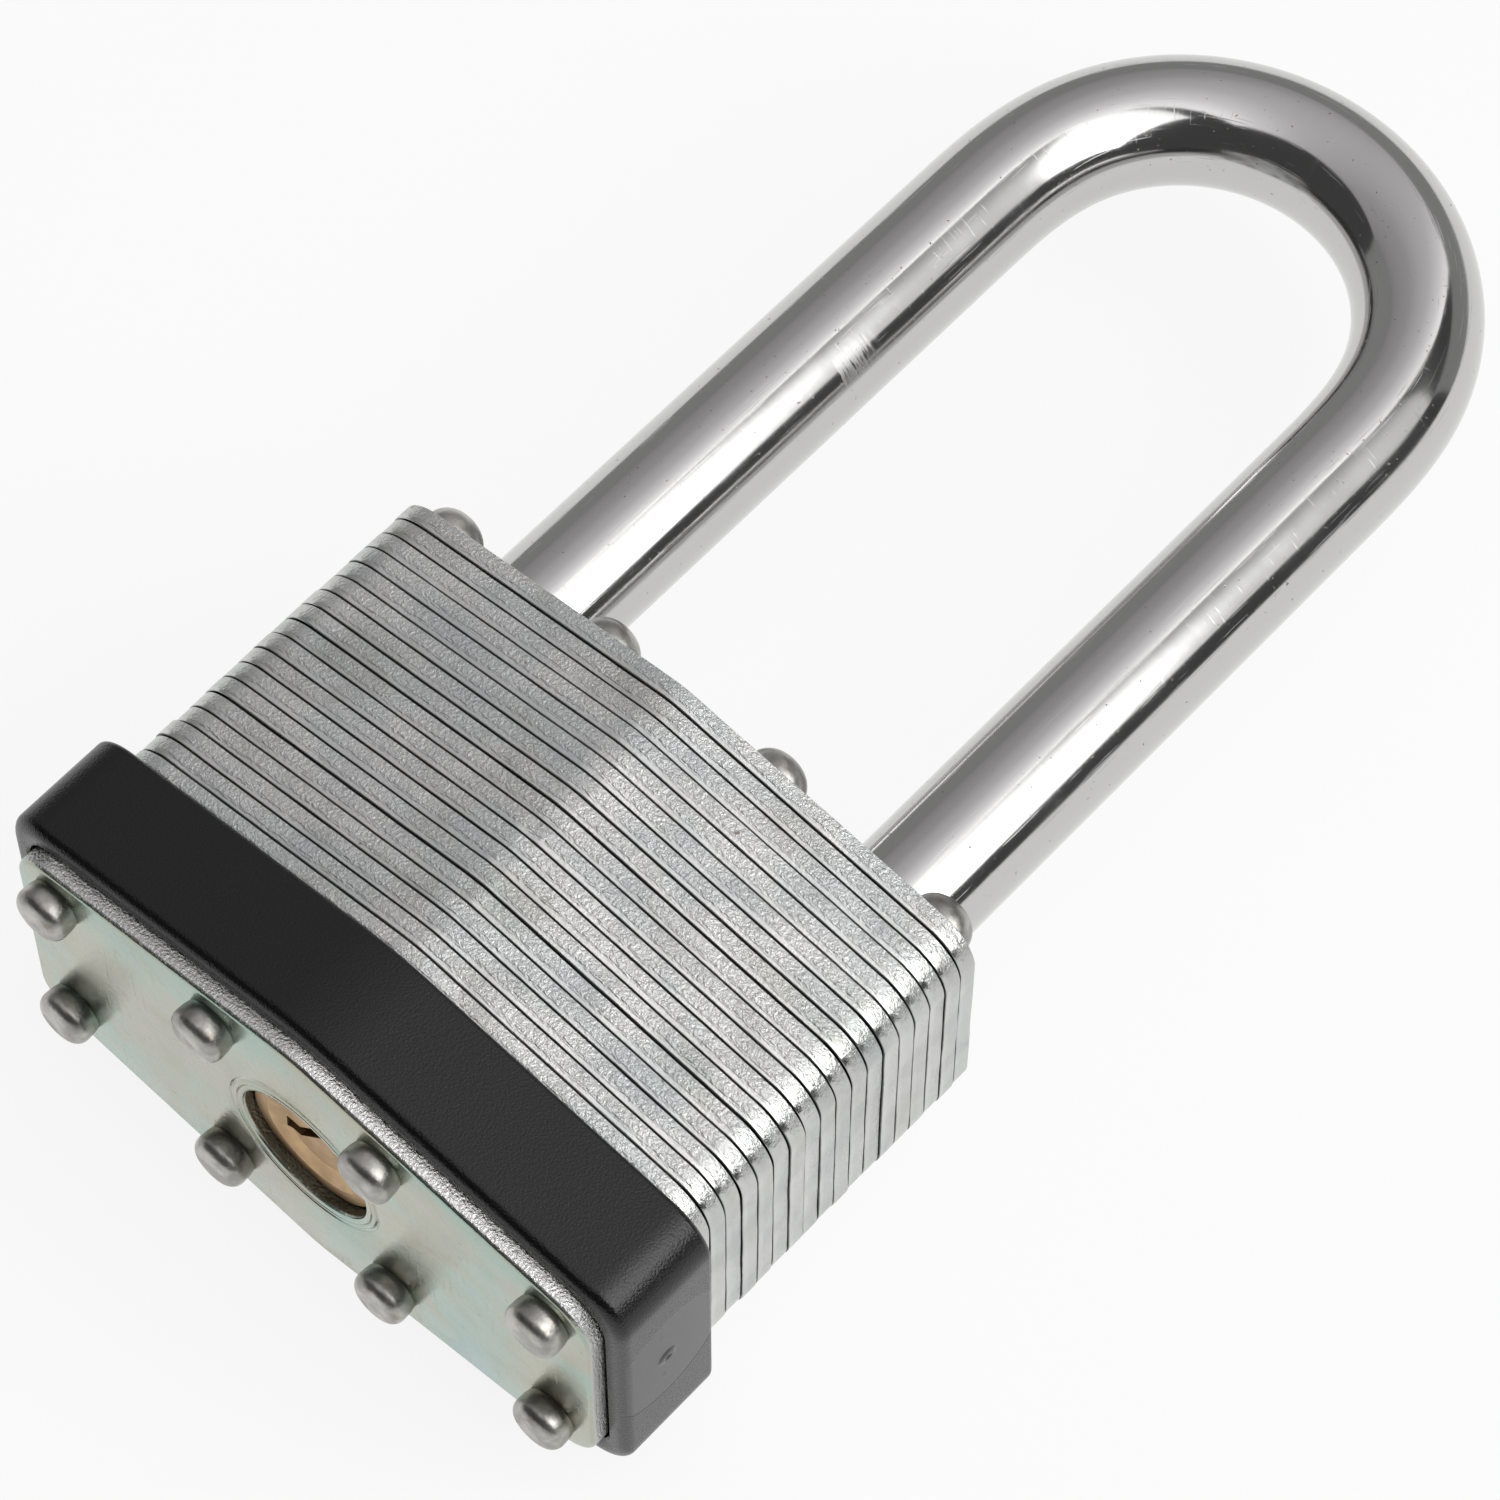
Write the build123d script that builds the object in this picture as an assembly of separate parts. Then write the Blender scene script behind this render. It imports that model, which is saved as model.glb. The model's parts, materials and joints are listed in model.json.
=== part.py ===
"""Laminated steel padlock with a long shackle: riveted plates, bumper band, pin tumbler cylinder and pawls.

The lock is drawn upright in millimetres: X across its width, Z from the base plate up along the shackle,
front face towards -Y. Each finished piece is then laid on its back, so that +Z is up and the bow lies at +Y.
Hidden holes and small round parts have few flats, because they repeat so often in the stack.
"""
import os
from math import atan2, cos, hypot, pi, sin, tan

from build123d import *

# Body and its plates
BODY_WIDTH = 50.0
RIDGE_THICKNESS = 27.1
END_THICKNESS = 20.2
CORNER_RADIUS = 3.4
PLATE_CORNER_FLATS = 4
BUMPER_CORNER_FLATS = 8
BASE_THICKNESS = 2.15
BASE_EDGE = 0.3
PLATE_THICKNESS = 1.475
INSET_PLATES = 5
FULL_PLATES = 18
PLATE_INSET = 1.0

# Rivets: four across, in two rows that follow the ridge
RIVET_OUTER = (21.43, 7.30)
RIVET_INNER = (7.27, 9.17)
RIVET_FLATS = 12
SHANK_RADIUS = 1.45
SHANK_FLATS = 4
BASE_HEAD_RADIUS = 2.1
BASE_HEAD_HEIGHT = 2.0
TOP_HEAD_RADIUS = 2.3
TOP_HEAD_HEIGHT = 2.3
HEAD_WALL_SHARE = 0.5
HEAD_TAPER = 42.0

# Bumper band
BUMPER_PROUD = 1.7
BUMPER_BOTTOM = 1.2
BUMPER_LIP = 0.9
BUMPER_BEVEL = 0.45
BUMPER_GAP = 0.15

# Shackle
ROD_RADIUS = 4.62
LEG_X = 16.2
BOW_CENTRE_Z = 87.16
LIFT = 13.0
LIFT_SPARE = 0.125
TOE_SPARE = 0.4
NECK_RADIUS = 2.9
GUIDE_HOLE_FLATS = 24
FLANGE_RADIUS = 4.4
FLANGE_THICKNESS = 1.5
SHOULDER_GAP = 0.1
TOE_CHAMFER = 1.2
LEG_CLEARANCE = 0.3
LEG_HOLE_FLATS = 6
GUIDE_CLEARANCE = 0.2

# Key opening, plug and cylinder body
KEY_OPENING_RADIUS = 5.45
PLUG_RADIUS = 5.2
PLUG_RECESS = 0.9
DISH_RADIUS = 4.1
DISH_DEPTH = 0.4
DISH_TAPER = 75.0
RUNNING_FIT = 0.05
CYLINDER_PLATES = 15
BLOCK_HALF_WIDTH = 7.0
BLOCK_CHAMFER = 2.0
BLOCK_SHOULDER = 6.2
BIBLE_HALF_WIDTH = 3.2
BIBLE_REACH = 10.8
COVER_THICKNESS = 0.6
KEYWAY_LINE = [(-2.75, 0.55), (-1.6, 0.62), (0.6, -1.9), (1.9, -0.6), (4.3, -0.3)]
KEYWAY_HALF_GAP = 0.62
KEYWAY_DEPTH = 21.5

# Pin stacks
PIN_COUNT = 4
FIRST_PIN_Z = 6.4
PIN_PITCH = 4.2
PIN_RADIUS = 1.25
PIN_FLATS = 8
CHAMBER_SIDE = 2.8
CHAMBER_DEPTH = 4.0
KEY_PIN_LENGTHS = (2.1, 2.6, 2.3, 2.8)
KEY_PIN_TIP = 0.7
KEY_PIN_TIP_TAPER = 45.0
DRIVER_LENGTH = 2.9
SHEAR_GAP = 0.12
PIN_SPRING_WIRE = 0.3
PIN_SPRING_TURNS = 3
PIN_SPRING_RUNS = 5

# Locking cam and pawls
TAIL_SIDE = 4.0
TAIL_HOLE_RADIUS = 3.1
CAM_SMALL = 3.4
CAM_FLATS = 6
PAWL_STROKE = 1.9
CAM_GAP = 0.08
PAWL_HALF_WIDTH = 3.4
PAWL_BEVEL = 1.2
PAWL_SIDE_GAP = 0.12
PAWL_END_GAP = 0.3
NOTCH_GAP = 0.2
CAM_WINDOW_GAP = 0.3

# Shackle spring
SPRING_WIRE = 0.55
SPRING_RADIUS = 3.2
SPRING_TURNS = 3
SPRING_RUNS = 8
SPRING_END_GAP = 0.1

# Places of the working plates, counted from the base plate
HEEL_PLATE = 13
FIRST_PAWL_PLATE = 17
PAWL_PLATES = 3
PLATE_COUNT = INSET_PLATES + FULL_PLATES


def level(count):
    """Height of the lower face of a plate, counted from the base plate."""
    return BASE_THICKNESS + count * PLATE_THICKNESS


HALF_WIDTH = BODY_WIDTH / 2
FACET_SLOPE = atan2((RIDGE_THICKNESS - END_THICKNESS) / 2, HALF_WIDTH)
INSET_TOP = level(INSET_PLATES)
BODY_TOP = level(PLATE_COUNT)
CYLINDER_TOP = level(CYLINDER_PLATES)
PAWL_BOTTOM = level(FIRST_PAWL_PLATE) + PAWL_SIDE_GAP
PAWL_TOP = level(FIRST_PAWL_PLATE + PAWL_PLATES) - PAWL_SIDE_GAP
PAWL_TIP = LEG_X - ROD_RADIUS - PAWL_END_GAP
HEEL_SHOULDER = level(HEEL_PLATE + 1) + SHOULDER_GAP
FLANGE_TOP = level(HEEL_PLATE) - LIFT - LIFT_SPARE
FLANGE_BOTTOM = FLANGE_TOP - FLANGE_THICKNESS
TOE_END = BODY_TOP + TOE_SPARE - LIFT
CAM_RATE = PAWL_STROKE / (pi / 2)
CAM_REACH = hypot(CAM_SMALL + PAWL_STROKE, CAM_RATE)
BUMPER_HALF = RIDGE_THICKNESS / 2 + BUMPER_PROUD / cos(FACET_SLOPE)
Y_MIDDLE = (BOW_CENTRE_Z + LEG_X + ROD_RADIUS - BASE_HEAD_HEIGHT) / 2


def polygon(points):
    """Filled outline through the points."""
    return make_face(Polyline(*points, close=True))


def flats(radius, count):
    """Regular polygon whose flats touch a circle, with one flat square to X."""
    return RegularPolygon(radius, count, major_radius=False, rotation=180 / count)


def body_outline(grow=0.0, corner_flats=PLATE_CORNER_FLATS):
    """Six-sided outline, two facets front and back, moved outwards by grow, with corners on a circle."""
    half_width = HALF_WIDTH + grow
    ridge = RIDGE_THICKNESS / 2 + grow / cos(FACET_SLOPE)
    end = ridge - half_width * tan(FACET_SLOPE)
    turn = pi / 2 - FACET_SLOPE
    centre_x = half_width - CORNER_RADIUS
    centre_y = end - CORNER_RADIUS * tan(turn / 2)
    angles = [turn * i / corner_flats for i in range(corner_flats + 1)]
    corner = [(centre_x + CORNER_RADIUS * cos(a), centre_y + CORNER_RADIUS * sin(a)) for a in angles]
    back_left = [(-x, y) for x, y in reversed(corner)]
    back = [*corner, (0, ridge), *back_left]
    return polygon(back + [(-x, -y) for x, y in back])


def rivet_places():
    """The eight rivet centres in plan."""
    signs = [(sx, sy) for sx in (-1, 1) for sy in (-1, 1)]
    return [(sx * x, sy * y) for x, y in (RIVET_OUTER, RIVET_INNER) for sx, sy in signs]


def rivet_holes():
    """Holes that the shanks fill."""
    return Sketch() + [Pos(x, y) * flats(SHANK_RADIUS, SHANK_FLATS) for x, y in rivet_places()]


def leg_hole(x):
    """Clearance hole for one shackle leg."""
    return Pos(x, 0) * flats(ROD_RADIUS + LEG_CLEARANCE, LEG_HOLE_FLATS)


def block_outline():
    """Cylinder body in plan: a square barrel with a narrow pin block towards the front."""
    right = [
        (BLOCK_HALF_WIDTH - BLOCK_CHAMFER, BLOCK_HALF_WIDTH),
        (BLOCK_HALF_WIDTH, BLOCK_HALF_WIDTH - BLOCK_CHAMFER),
        (BLOCK_HALF_WIDTH, -BLOCK_SHOULDER),
        (BIBLE_HALF_WIDTH, -BLOCK_SHOULDER),
        (BIBLE_HALF_WIDTH, -BIBLE_REACH),
    ]
    return polygon(right + [(-x, y) for x, y in reversed(right)])


def cover_outline():
    """Strip over the outer ends of the pin chambers, in plan."""
    return Pos(0, -BIBLE_REACH - COVER_THICKNESS / 2) * Rectangle(2 * BIBLE_HALF_WIDTH, COVER_THICKNESS)


def pawl_window():
    """Channel from leg to leg for the pawls, widened in the middle for the cam."""
    channel = Rectangle(2 * LEG_X, 2 * (PAWL_HALF_WIDTH + PAWL_SIDE_GAP))
    cam_side = 2 * (CAM_REACH + CAM_WINDOW_GAP)
    return channel + Rectangle(cam_side, cam_side)


def plate_openings(count):
    """What one plate of the stack is punched with, by its place above the base plate."""
    openings = rivet_holes()
    if count < CYLINDER_PLATES:
        openings += block_outline() + cover_outline()
    elif count < FIRST_PAWL_PLATE:
        openings += flats(TAIL_HOLE_RADIUS, PIN_FLATS)
    elif count < FIRST_PAWL_PLATE + PAWL_PLATES:
        openings += pawl_window()
    if count == HEEL_PLATE:
        return openings + Pos(-LEG_X, 0) * flats(NECK_RADIUS + GUIDE_CLEARANCE, GUIDE_HOLE_FLATS)
    if count == PLATE_COUNT - 1:
        guide = flats(ROD_RADIUS + GUIDE_CLEARANCE, GUIDE_HOLE_FLATS)
        return openings + [Pos(x, 0) * guide for x in (-LEG_X, LEG_X)]
    openings += leg_hole(-LEG_X)
    return openings + leg_hole(LEG_X) if count > HEEL_PLATE else openings


def body_plate(count):
    """One stamped plate of the full outline."""
    plate = body_outline() - plate_openings(count)
    return Pos(0, 0, level(count)) * extrude(plate, PLATE_THICKNESS)


def plate_name(count):
    """Node name of one full plate."""
    if count == HEEL_PLATE:
        return "heel_retaining_plate"
    if count == PLATE_COUNT - 1:
        return "top_plate"
    return f"body_plate_{count - INSET_PLATES + 1:02d}"


def inset_plates():
    """The plates inside the bumper, joined. The lowest one closes the heel's well."""
    stack = extrude(body_outline(-PLATE_INSET), INSET_TOP - BASE_THICKNESS)
    stack -= extrude(rivet_holes() + block_outline() + cover_outline(), INSET_TOP)
    stack -= Pos(0, 0, PLATE_THICKNESS) * extrude(leg_hole(-LEG_X), INSET_TOP)
    return Pos(0, 0, BASE_THICKNESS) * stack


def base_plate():
    """Base plate with its key opening and a broken outer edge."""
    plate = extrude(body_outline(), BASE_THICKNESS)
    plate = chamfer(plate.faces().sort_by(Axis.Z)[0].edges(), BASE_EDGE)
    return plate - extrude(rivet_holes() + Circle(KEY_OPENING_RADIUS), BASE_THICKNESS)


def bumper():
    """Moulded band: rolled lower lip, bevelled upper edge, and a rib that fills the inset plates' step."""
    height = INSET_TOP - BUMPER_BOTTOM
    band = Pos(0, 0, BUMPER_BOTTOM) * extrude(body_outline(BUMPER_PROUD, BUMPER_CORNER_FLATS), height)
    band = chamfer(band.faces().sort_by(Axis.Z)[0].edges(), BUMPER_LIP)
    band = chamfer(band.faces().sort_by(Axis.Z)[-1].edges(), BUMPER_BEVEL)
    band -= extrude(body_outline(BUMPER_GAP), BASE_THICKNESS)
    return band - Pos(0, 0, BASE_THICKNESS) * extrude(body_outline(-PLATE_INSET), INSET_TOP)


def rivet_head(radius, height):
    """Head that stands up from its seat: an upright wall, then a steep rounding to a flat end."""
    wall = height * HEAD_WALL_SHARE
    outline = flats(radius, RIVET_FLATS)
    return extrude(outline, wall) + Pos(0, 0, wall) * extrude(outline, height - wall, taper=HEAD_TAPER)


def rivet():
    """One rivet through the whole stack, with a head at each end."""
    shank = extrude(flats(SHANK_RADIUS, SHANK_FLATS), BODY_TOP)
    base_head = Rot(180, 0, 0) * rivet_head(BASE_HEAD_RADIUS, BASE_HEAD_HEIGHT)
    return shank + base_head + Pos(0, 0, BODY_TOP) * rivet_head(TOP_HEAD_RADIUS, TOP_HEAD_HEIGHT)


def rivets():
    """Eight identical rivets as one group of separate solids."""
    one = rivet()
    return Compound(children=[Pos(x, y, 0) * one for x, y in rivet_places()])


def notch():
    """Cutter for the toe's notch: square above, with the pawl's bevel below."""
    bottom = PAWL_TIP + PAWL_STROKE + NOTCH_GAP
    mouth = PAWL_TIP - PAWL_BEVEL
    high = PAWL_TOP + NOTCH_GAP
    low = PAWL_BOTTOM - NOTCH_GAP + PAWL_BEVEL
    points = [(bottom, low), (mouth, low - bottom + mouth), (mouth, high), (bottom, high)]
    return extrude(Plane.XZ * polygon(points), 2 * ROD_RADIUS, both=True)


def shackle():
    """U-shaped rod with a notch in each leg, a chamfered toe, and a flanged neck on the heel."""
    bow = ThreePointArc((-LEG_X, 0, BOW_CENTRE_Z), (0, 0, BOW_CENTRE_Z + LEG_X), (LEG_X, 0, BOW_CENTRE_Z))
    heel_leg = Line((-LEG_X, 0, HEEL_SHOULDER), (-LEG_X, 0, BOW_CENTRE_Z))
    toe_leg = Line((LEG_X, 0, BOW_CENTRE_Z), (LEG_X, 0, TOE_END))
    rod = sweep(Plane((-LEG_X, 0, HEEL_SHOULDER)) * Circle(ROD_RADIUS), path=heel_leg + bow + toe_leg)
    rod = chamfer(rod.faces().filter_by(Axis.Z).sort_by(Axis.X)[-1].edges(), TOE_CHAMFER)
    neck = Pos(-LEG_X, 0, FLANGE_BOTTOM) * extrude(Circle(NECK_RADIUS), HEEL_SHOULDER - FLANGE_BOTTOM)
    flange = Pos(-LEG_X, 0, FLANGE_BOTTOM) * extrude(Circle(FLANGE_RADIUS), FLANGE_THICKNESS)
    cutter = notch()
    return rod + neck + flange - cutter - mirror(cutter, Plane.YZ)


def coil(radius, wire, turns, runs, height):
    """Coil spring of square wire along Z: one unbroken bar, with a number of straight runs to the turn."""
    rise = (height - wire) / (turns * runs)
    angles = [2 * pi * i / runs for i in range(turns * runs + 1)]
    points = [(radius * cos(a), radius * sin(a), wire / 2 + rise * i) for i, a in enumerate(angles)]
    path = Polyline(*points)
    section = Plane(points[0], z_dir=path % 0) * Rectangle(wire, wire)
    return sweep(section, path=path, transition=Transition.RIGHT)


def shackle_spring():
    """Spring under the heel's flange, pressed short by the closed shackle."""
    floor = level(1) + SPRING_END_GAP
    height = FLANGE_BOTTOM - SPRING_END_GAP - floor
    return Pos(-LEG_X, 0, floor) * coil(SPRING_RADIUS, SPRING_WIRE, SPRING_TURNS, SPRING_RUNS, height)


def pin_heights():
    """Heights of the pin stacks."""
    return [FIRST_PIN_Z + PIN_PITCH * i for i in range(PIN_COUNT)]


def chamber(start, length):
    """Pin chamber towards -Y, from a distance off the plug's axis."""
    return Pos(0, -start, 0) * extrude(Plane.XZ * Rectangle(CHAMBER_SIDE, CHAMBER_SIDE), length)


def cylinder_body():
    """Cast barrel for the plug, with the pin chambers in its front block."""
    length = CYLINDER_TOP - BASE_THICKNESS
    bore = flats(PLUG_RADIUS + RUNNING_FIT, GUIDE_HOLE_FLATS)
    block = Pos(0, 0, BASE_THICKNESS) * extrude(block_outline() - bore, length)
    return block - [Pos(0, 0, z) * chamber(0, BIBLE_REACH) for z in pin_heights()]


def pin_cover():
    """Strip that closes the pin chambers."""
    return Pos(0, 0, BASE_THICKNESS) * extrude(cover_outline(), CYLINDER_TOP - BASE_THICKNESS)


def keyway_outline():
    """Zig-zag keyway in plan: one bent line with the same gap all along."""
    near = [(x, y - KEYWAY_HALF_GAP) for x, y in KEYWAY_LINE]
    far = [(x, y + KEYWAY_HALF_GAP) for x, y in reversed(KEYWAY_LINE)]
    return polygon(near + far)


def turned_to_rest(shape):
    """Turn from the pin block's direction to the unlocked position, where the lock is at rest."""
    return Rot(0, 0, -90) * shape


def plug():
    """Brass plug with a dished face, a keyway, pin chambers and a square tail for the cam."""
    body = Pos(0, 0, PLUG_RECESS) * extrude(Circle(PLUG_RADIUS), CYLINDER_TOP - PLUG_RECESS)
    dish = extrude(flats(DISH_RADIUS, GUIDE_HOLE_FLATS), DISH_DEPTH, taper=DISH_TAPER)
    body -= Pos(0, 0, PLUG_RECESS) * (dish + extrude(keyway_outline(), KEYWAY_DEPTH))
    start = PLUG_RADIUS - CHAMBER_DEPTH
    body -= [turned_to_rest(Pos(0, 0, z) * chamber(start, 2 * CHAMBER_DEPTH)) for z in pin_heights()]
    tail = extrude(Rectangle(TAIL_SIDE, TAIL_SIDE), PAWL_TOP - CYLINDER_TOP)
    return body + Pos(0, 0, CYLINDER_TOP) * tail


def key_pin(index):
    """Key pin as the right key would hold it: its outer end at the shear line, its tip towards the keyway."""
    section = flats(PIN_RADIUS, PIN_FLATS)
    shank = KEY_PIN_LENGTHS[index] - KEY_PIN_TIP
    pin = extrude(section, shank) + Pos(0, 0, shank) * extrude(section, KEY_PIN_TIP, taper=KEY_PIN_TIP_TAPER)
    place = Pos(0, 2 * SHEAR_GAP - PLUG_RADIUS, pin_heights()[index])
    return turned_to_rest(place * Rot(-90, 0, 0) * pin)


def driver_pin(index):
    """Plain driver pin in the pin block, resting on the plug."""
    pin = Rot(90, 0, 0) * extrude(flats(PIN_RADIUS, PIN_FLATS), DRIVER_LENGTH)
    return Pos(0, -PLUG_RADIUS - SHEAR_GAP, pin_heights()[index]) * pin


def pin_spring(index):
    """Small coil spring between a driver pin and the cover."""
    start = PLUG_RADIUS + SHEAR_GAP + DRIVER_LENGTH + PIN_SPRING_WIRE / 2
    height = BIBLE_REACH - start - PIN_SPRING_WIRE / 2
    spring = coil(PIN_RADIUS - PIN_SPRING_WIRE, PIN_SPRING_WIRE, PIN_SPRING_TURNS, PIN_SPRING_RUNS, height)
    return Pos(0, -start, pin_heights()[index]) * Rot(90, 0, 0) * spring


def cam_point(turn):
    """Point of the cam's flank where a flat pawl touches after a turn: an involute, so the throw is even."""
    reach = CAM_SMALL + CAM_RATE * turn
    return (reach * cos(turn) - CAM_RATE * sin(turn), -reach * sin(turn) - CAM_RATE * cos(turn))


def locking_cam():
    """Two-lobed cam on the plug's tail: two involute flanks, half a turn apart, with straight backs."""
    flank = [cam_point(pi / 2 * i / CAM_FLATS) for i in range(CAM_FLATS + 1)]
    outline = polygon(flank + [(-x, -y) for x, y in flank]) - Rectangle(TAIL_SIDE, TAIL_SIDE)
    return Pos(0, 0, PAWL_BOTTOM) * extrude(outline, PAWL_TOP - PAWL_BOTTOM)


def toe_pawl():
    """Flat slider between the cam and the toe, with a bevel under its nose."""
    points = [
        (CAM_SMALL + CAM_GAP, PAWL_BOTTOM),
        (PAWL_TIP - PAWL_BEVEL, PAWL_BOTTOM),
        (PAWL_TIP, PAWL_BOTTOM + PAWL_BEVEL),
        (PAWL_TIP, PAWL_TOP),
        (CAM_SMALL + CAM_GAP, PAWL_TOP),
    ]
    return extrude(Plane.XZ * polygon(points), PAWL_HALF_WIDTH, both=True)


def pieces():
    """Every piece of the lock by node name, upright."""
    named = {"base_plate": base_plate(), "inset_plates": inset_plates()}
    named.update({"bumper": bumper(), "rivets": rivets()})
    named.update({plate_name(count): body_plate(count) for count in range(INSET_PLATES, PLATE_COUNT)})
    named.update({"shackle": shackle(), "shackle_spring": shackle_spring()})
    named.update({"cylinder_body": cylinder_body(), "pin_cover": pin_cover()})
    named.update({"plug": plug(), "locking_cam": locking_cam()})
    named.update({"toe_pawl": toe_pawl(), "heel_pawl": mirror(toe_pawl(), Plane.YZ)})
    for index in range(PIN_COUNT):
        named[f"key_pin_{index + 1}"] = key_pin(index)
        named[f"driver_pin_{index + 1}"] = driver_pin(index)
        named[f"pin_spring_{index + 1}"] = pin_spring(index)
    return named


def main():
    """Lay every piece on its back, centred over the ground, and write it."""
    os.makedirs("parts", exist_ok=True)
    laid = Pos(0, -Y_MIDDLE, BUMPER_HALF) * Rot(-90, 0, 0)
    for name, piece in pieces().items():
        export_step(laid * piece, f"parts/{name}.step")


if __name__ == "__main__":
    main()
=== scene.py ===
"""Looks of a laminated padlock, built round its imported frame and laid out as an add-on.

Pieces of the body are worked out in plan coordinates: u across the width, v up out of the front face from the
middle plane, and h from the base plate's outer face towards the bow. Every size is in metres.
"""
import json
from functools import partial, partialmethod
from math import atan2, cos, pi, radians, sin, tan

import bmesh
import bpy
import numpy as np
from bpy.props import FloatProperty, FloatVectorProperty, IntProperty, PointerProperty
from mathutils import Matrix, Vector
from mathutils.geometry import delaunay_2d_cdt


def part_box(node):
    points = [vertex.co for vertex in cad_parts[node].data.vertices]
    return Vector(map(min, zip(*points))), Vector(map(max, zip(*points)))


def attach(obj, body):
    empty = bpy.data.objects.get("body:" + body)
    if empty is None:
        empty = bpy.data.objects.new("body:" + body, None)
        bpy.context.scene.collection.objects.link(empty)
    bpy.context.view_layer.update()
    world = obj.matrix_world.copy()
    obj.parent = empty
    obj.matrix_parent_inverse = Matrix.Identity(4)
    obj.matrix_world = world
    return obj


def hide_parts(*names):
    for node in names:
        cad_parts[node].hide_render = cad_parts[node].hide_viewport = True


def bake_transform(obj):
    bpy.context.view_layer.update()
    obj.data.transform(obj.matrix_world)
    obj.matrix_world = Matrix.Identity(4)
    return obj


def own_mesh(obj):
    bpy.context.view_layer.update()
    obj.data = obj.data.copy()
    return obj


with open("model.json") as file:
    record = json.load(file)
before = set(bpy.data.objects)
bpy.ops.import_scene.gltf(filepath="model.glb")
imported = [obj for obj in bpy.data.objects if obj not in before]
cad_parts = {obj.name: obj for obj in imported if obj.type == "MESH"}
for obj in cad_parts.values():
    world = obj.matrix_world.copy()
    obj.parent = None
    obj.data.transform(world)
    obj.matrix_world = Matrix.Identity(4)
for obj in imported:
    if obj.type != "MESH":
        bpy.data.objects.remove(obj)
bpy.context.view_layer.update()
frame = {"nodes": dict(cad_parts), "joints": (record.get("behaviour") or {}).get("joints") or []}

bl_info = {
    "name": "Laminated padlock",
    "version": (1, 0, 0),
    "blender": (4, 5, 0),
    "location": "3D View > Sidebar > Padlock",
    "description": "Dresses the packed frame of a laminated padlock with finished surfaces and a studio",
    "category": "Object",
}

MM = 0.001
BODY = "lock_body"
TINY = 1e-6
SHARP_ANGLE = radians(38)
SEED = 7

# Kind of triangulation that fills an outline and leaves the loops inside it open
CAP_HOLES = 2

# Points along the curves of outlines and profiles
CORNER_STEPS, RIDGE_STEPS, END_STEPS, FACET_STEPS = 15, 7, 13, 45
EDGE_STEPS, LIP_STEPS, BULLET_STEPS, DOME_STEPS = 6, 10, 9, 12
LEG_STEPS, BOW_STEPS, WINDOW_STEPS, COIL_STEPS = 24, 129, 40, 36

# Sides of round pieces and holes
RIVET_SIDES, SHANK_SIDES, LEG_HOLE_SIDES, TAIL_HOLE_SIDES = 48, 24, 64, 32
OPENING_SIDES, MARK_SIDES, WIRE_SIDES = 96, 32, 12

# Small clearances and edges
POCKET_CHAMFER, POCKET_SHOULDER = 2.0 * MM, 6.2 * MM
PAWL_CLEARANCE, CAM_HALF = 0.12 * MM, 5.74 * MM
NECK_CLEARANCE, TAIL_HOLE = 0.2 * MM, 3.1 * MM
LEG_CLEARANCE, TOE_CHAMFER = 0.3 * MM, 1.2 * MM
NOTCH_DEPTH, NOTCH_CLEARANCE, NOTCH_BEVEL = 1.8 * MM, 0.2 * MM, 1.2 * MM
NECK_RADIUS, FLANGE_RADIUS, FLANGE_THICKNESS = 2.9 * MM, 4.4 * MM, 1.5 * MM
JOINT_DEPTH, EDGE_BURR = 0.9 * MM, 0.05 * MM
BUMPER_GAP, RIB_DEPTH = 0.15 * MM, 1.0 * MM
GATE_H, GATE_V, GATE_DISC = 5.2 * MM, 0.66 * MM, 5.2 * MM
SHOULDER_GAP, SHOULDER_EDGE, TOE_SPARE = 0.1 * MM, 0.12 * MM, 0.4 * MM
BASE_ROLL, ROLL_HEIGHT, LIP_CHAMFER = 0.34 * MM, 1.1, 0.15 * MM
END_FROM, END_TO = 3.6 * MM, 1.2 * MM

# How far pieces of one kind differ from each other
ROLL_SPREAD, RIVET_SPREAD, LEAST_WAVE = (0.8, 1.2), (0.98, 1.0), 0.4
GAP_LEAST, GAP_EXTRA, GAP_RARITY = 0.85, 0.9, 4
PLATE_WAVES, BASE_WAVES = np.array([3, 5, 9, 14, 23, 37]), np.arange(3, 19, 3)

# Profiles as distance out and height in millimetres: pressed ring, opening's edge and moulding mark
COINED_RING = np.array([(0.75, 0.0), (0.45, 0.015), (0.16, 0.05), (0.0, 0.22), (-0.16, 0.05), (-0.30, 0.0),
                        (-0.44, 0.01), (-0.52, 0.10), (-0.60, 0.01)])
OPENING_EDGE = np.array([(0.22, 0.0), (0.06, 0.05), (0.0, 0.2)])
MOULDING_MARK = np.array([(0.0, 0.01), (0.16, 0.01), (0.30, 0.07), (0.42, 0.10), (0.58, 0.06), (0.80, 0.015),
                          (0.95, -0.05), (0.0, -0.05)])

# Rivet heads as share of the radius and height: where a base head draws in, and where a top head begins
RIVET_SEAT = ((0.985, -0.5 * MM), (0.95, -0.10 * MM), (0.91, 0.0))
RIVET_NECK = ((0.93, 0.0), (0.98, 0.12 * MM))
BULLET_ROUNDING, DOME_WALL, DOME_FULLNESS = 0.88 * MM, 0.55 * MM, 0.8

# The scuffed place on the shackle, along the rod and round it: where it sets in, is whole, fades and ends
SCUFF_ALONG = np.array([66.0, 66.1, 68.4, 70.6]) * MM
SCUFF_ROUND = np.array([9.6, 10.8, 11.3, 12.7]) * MM

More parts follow.
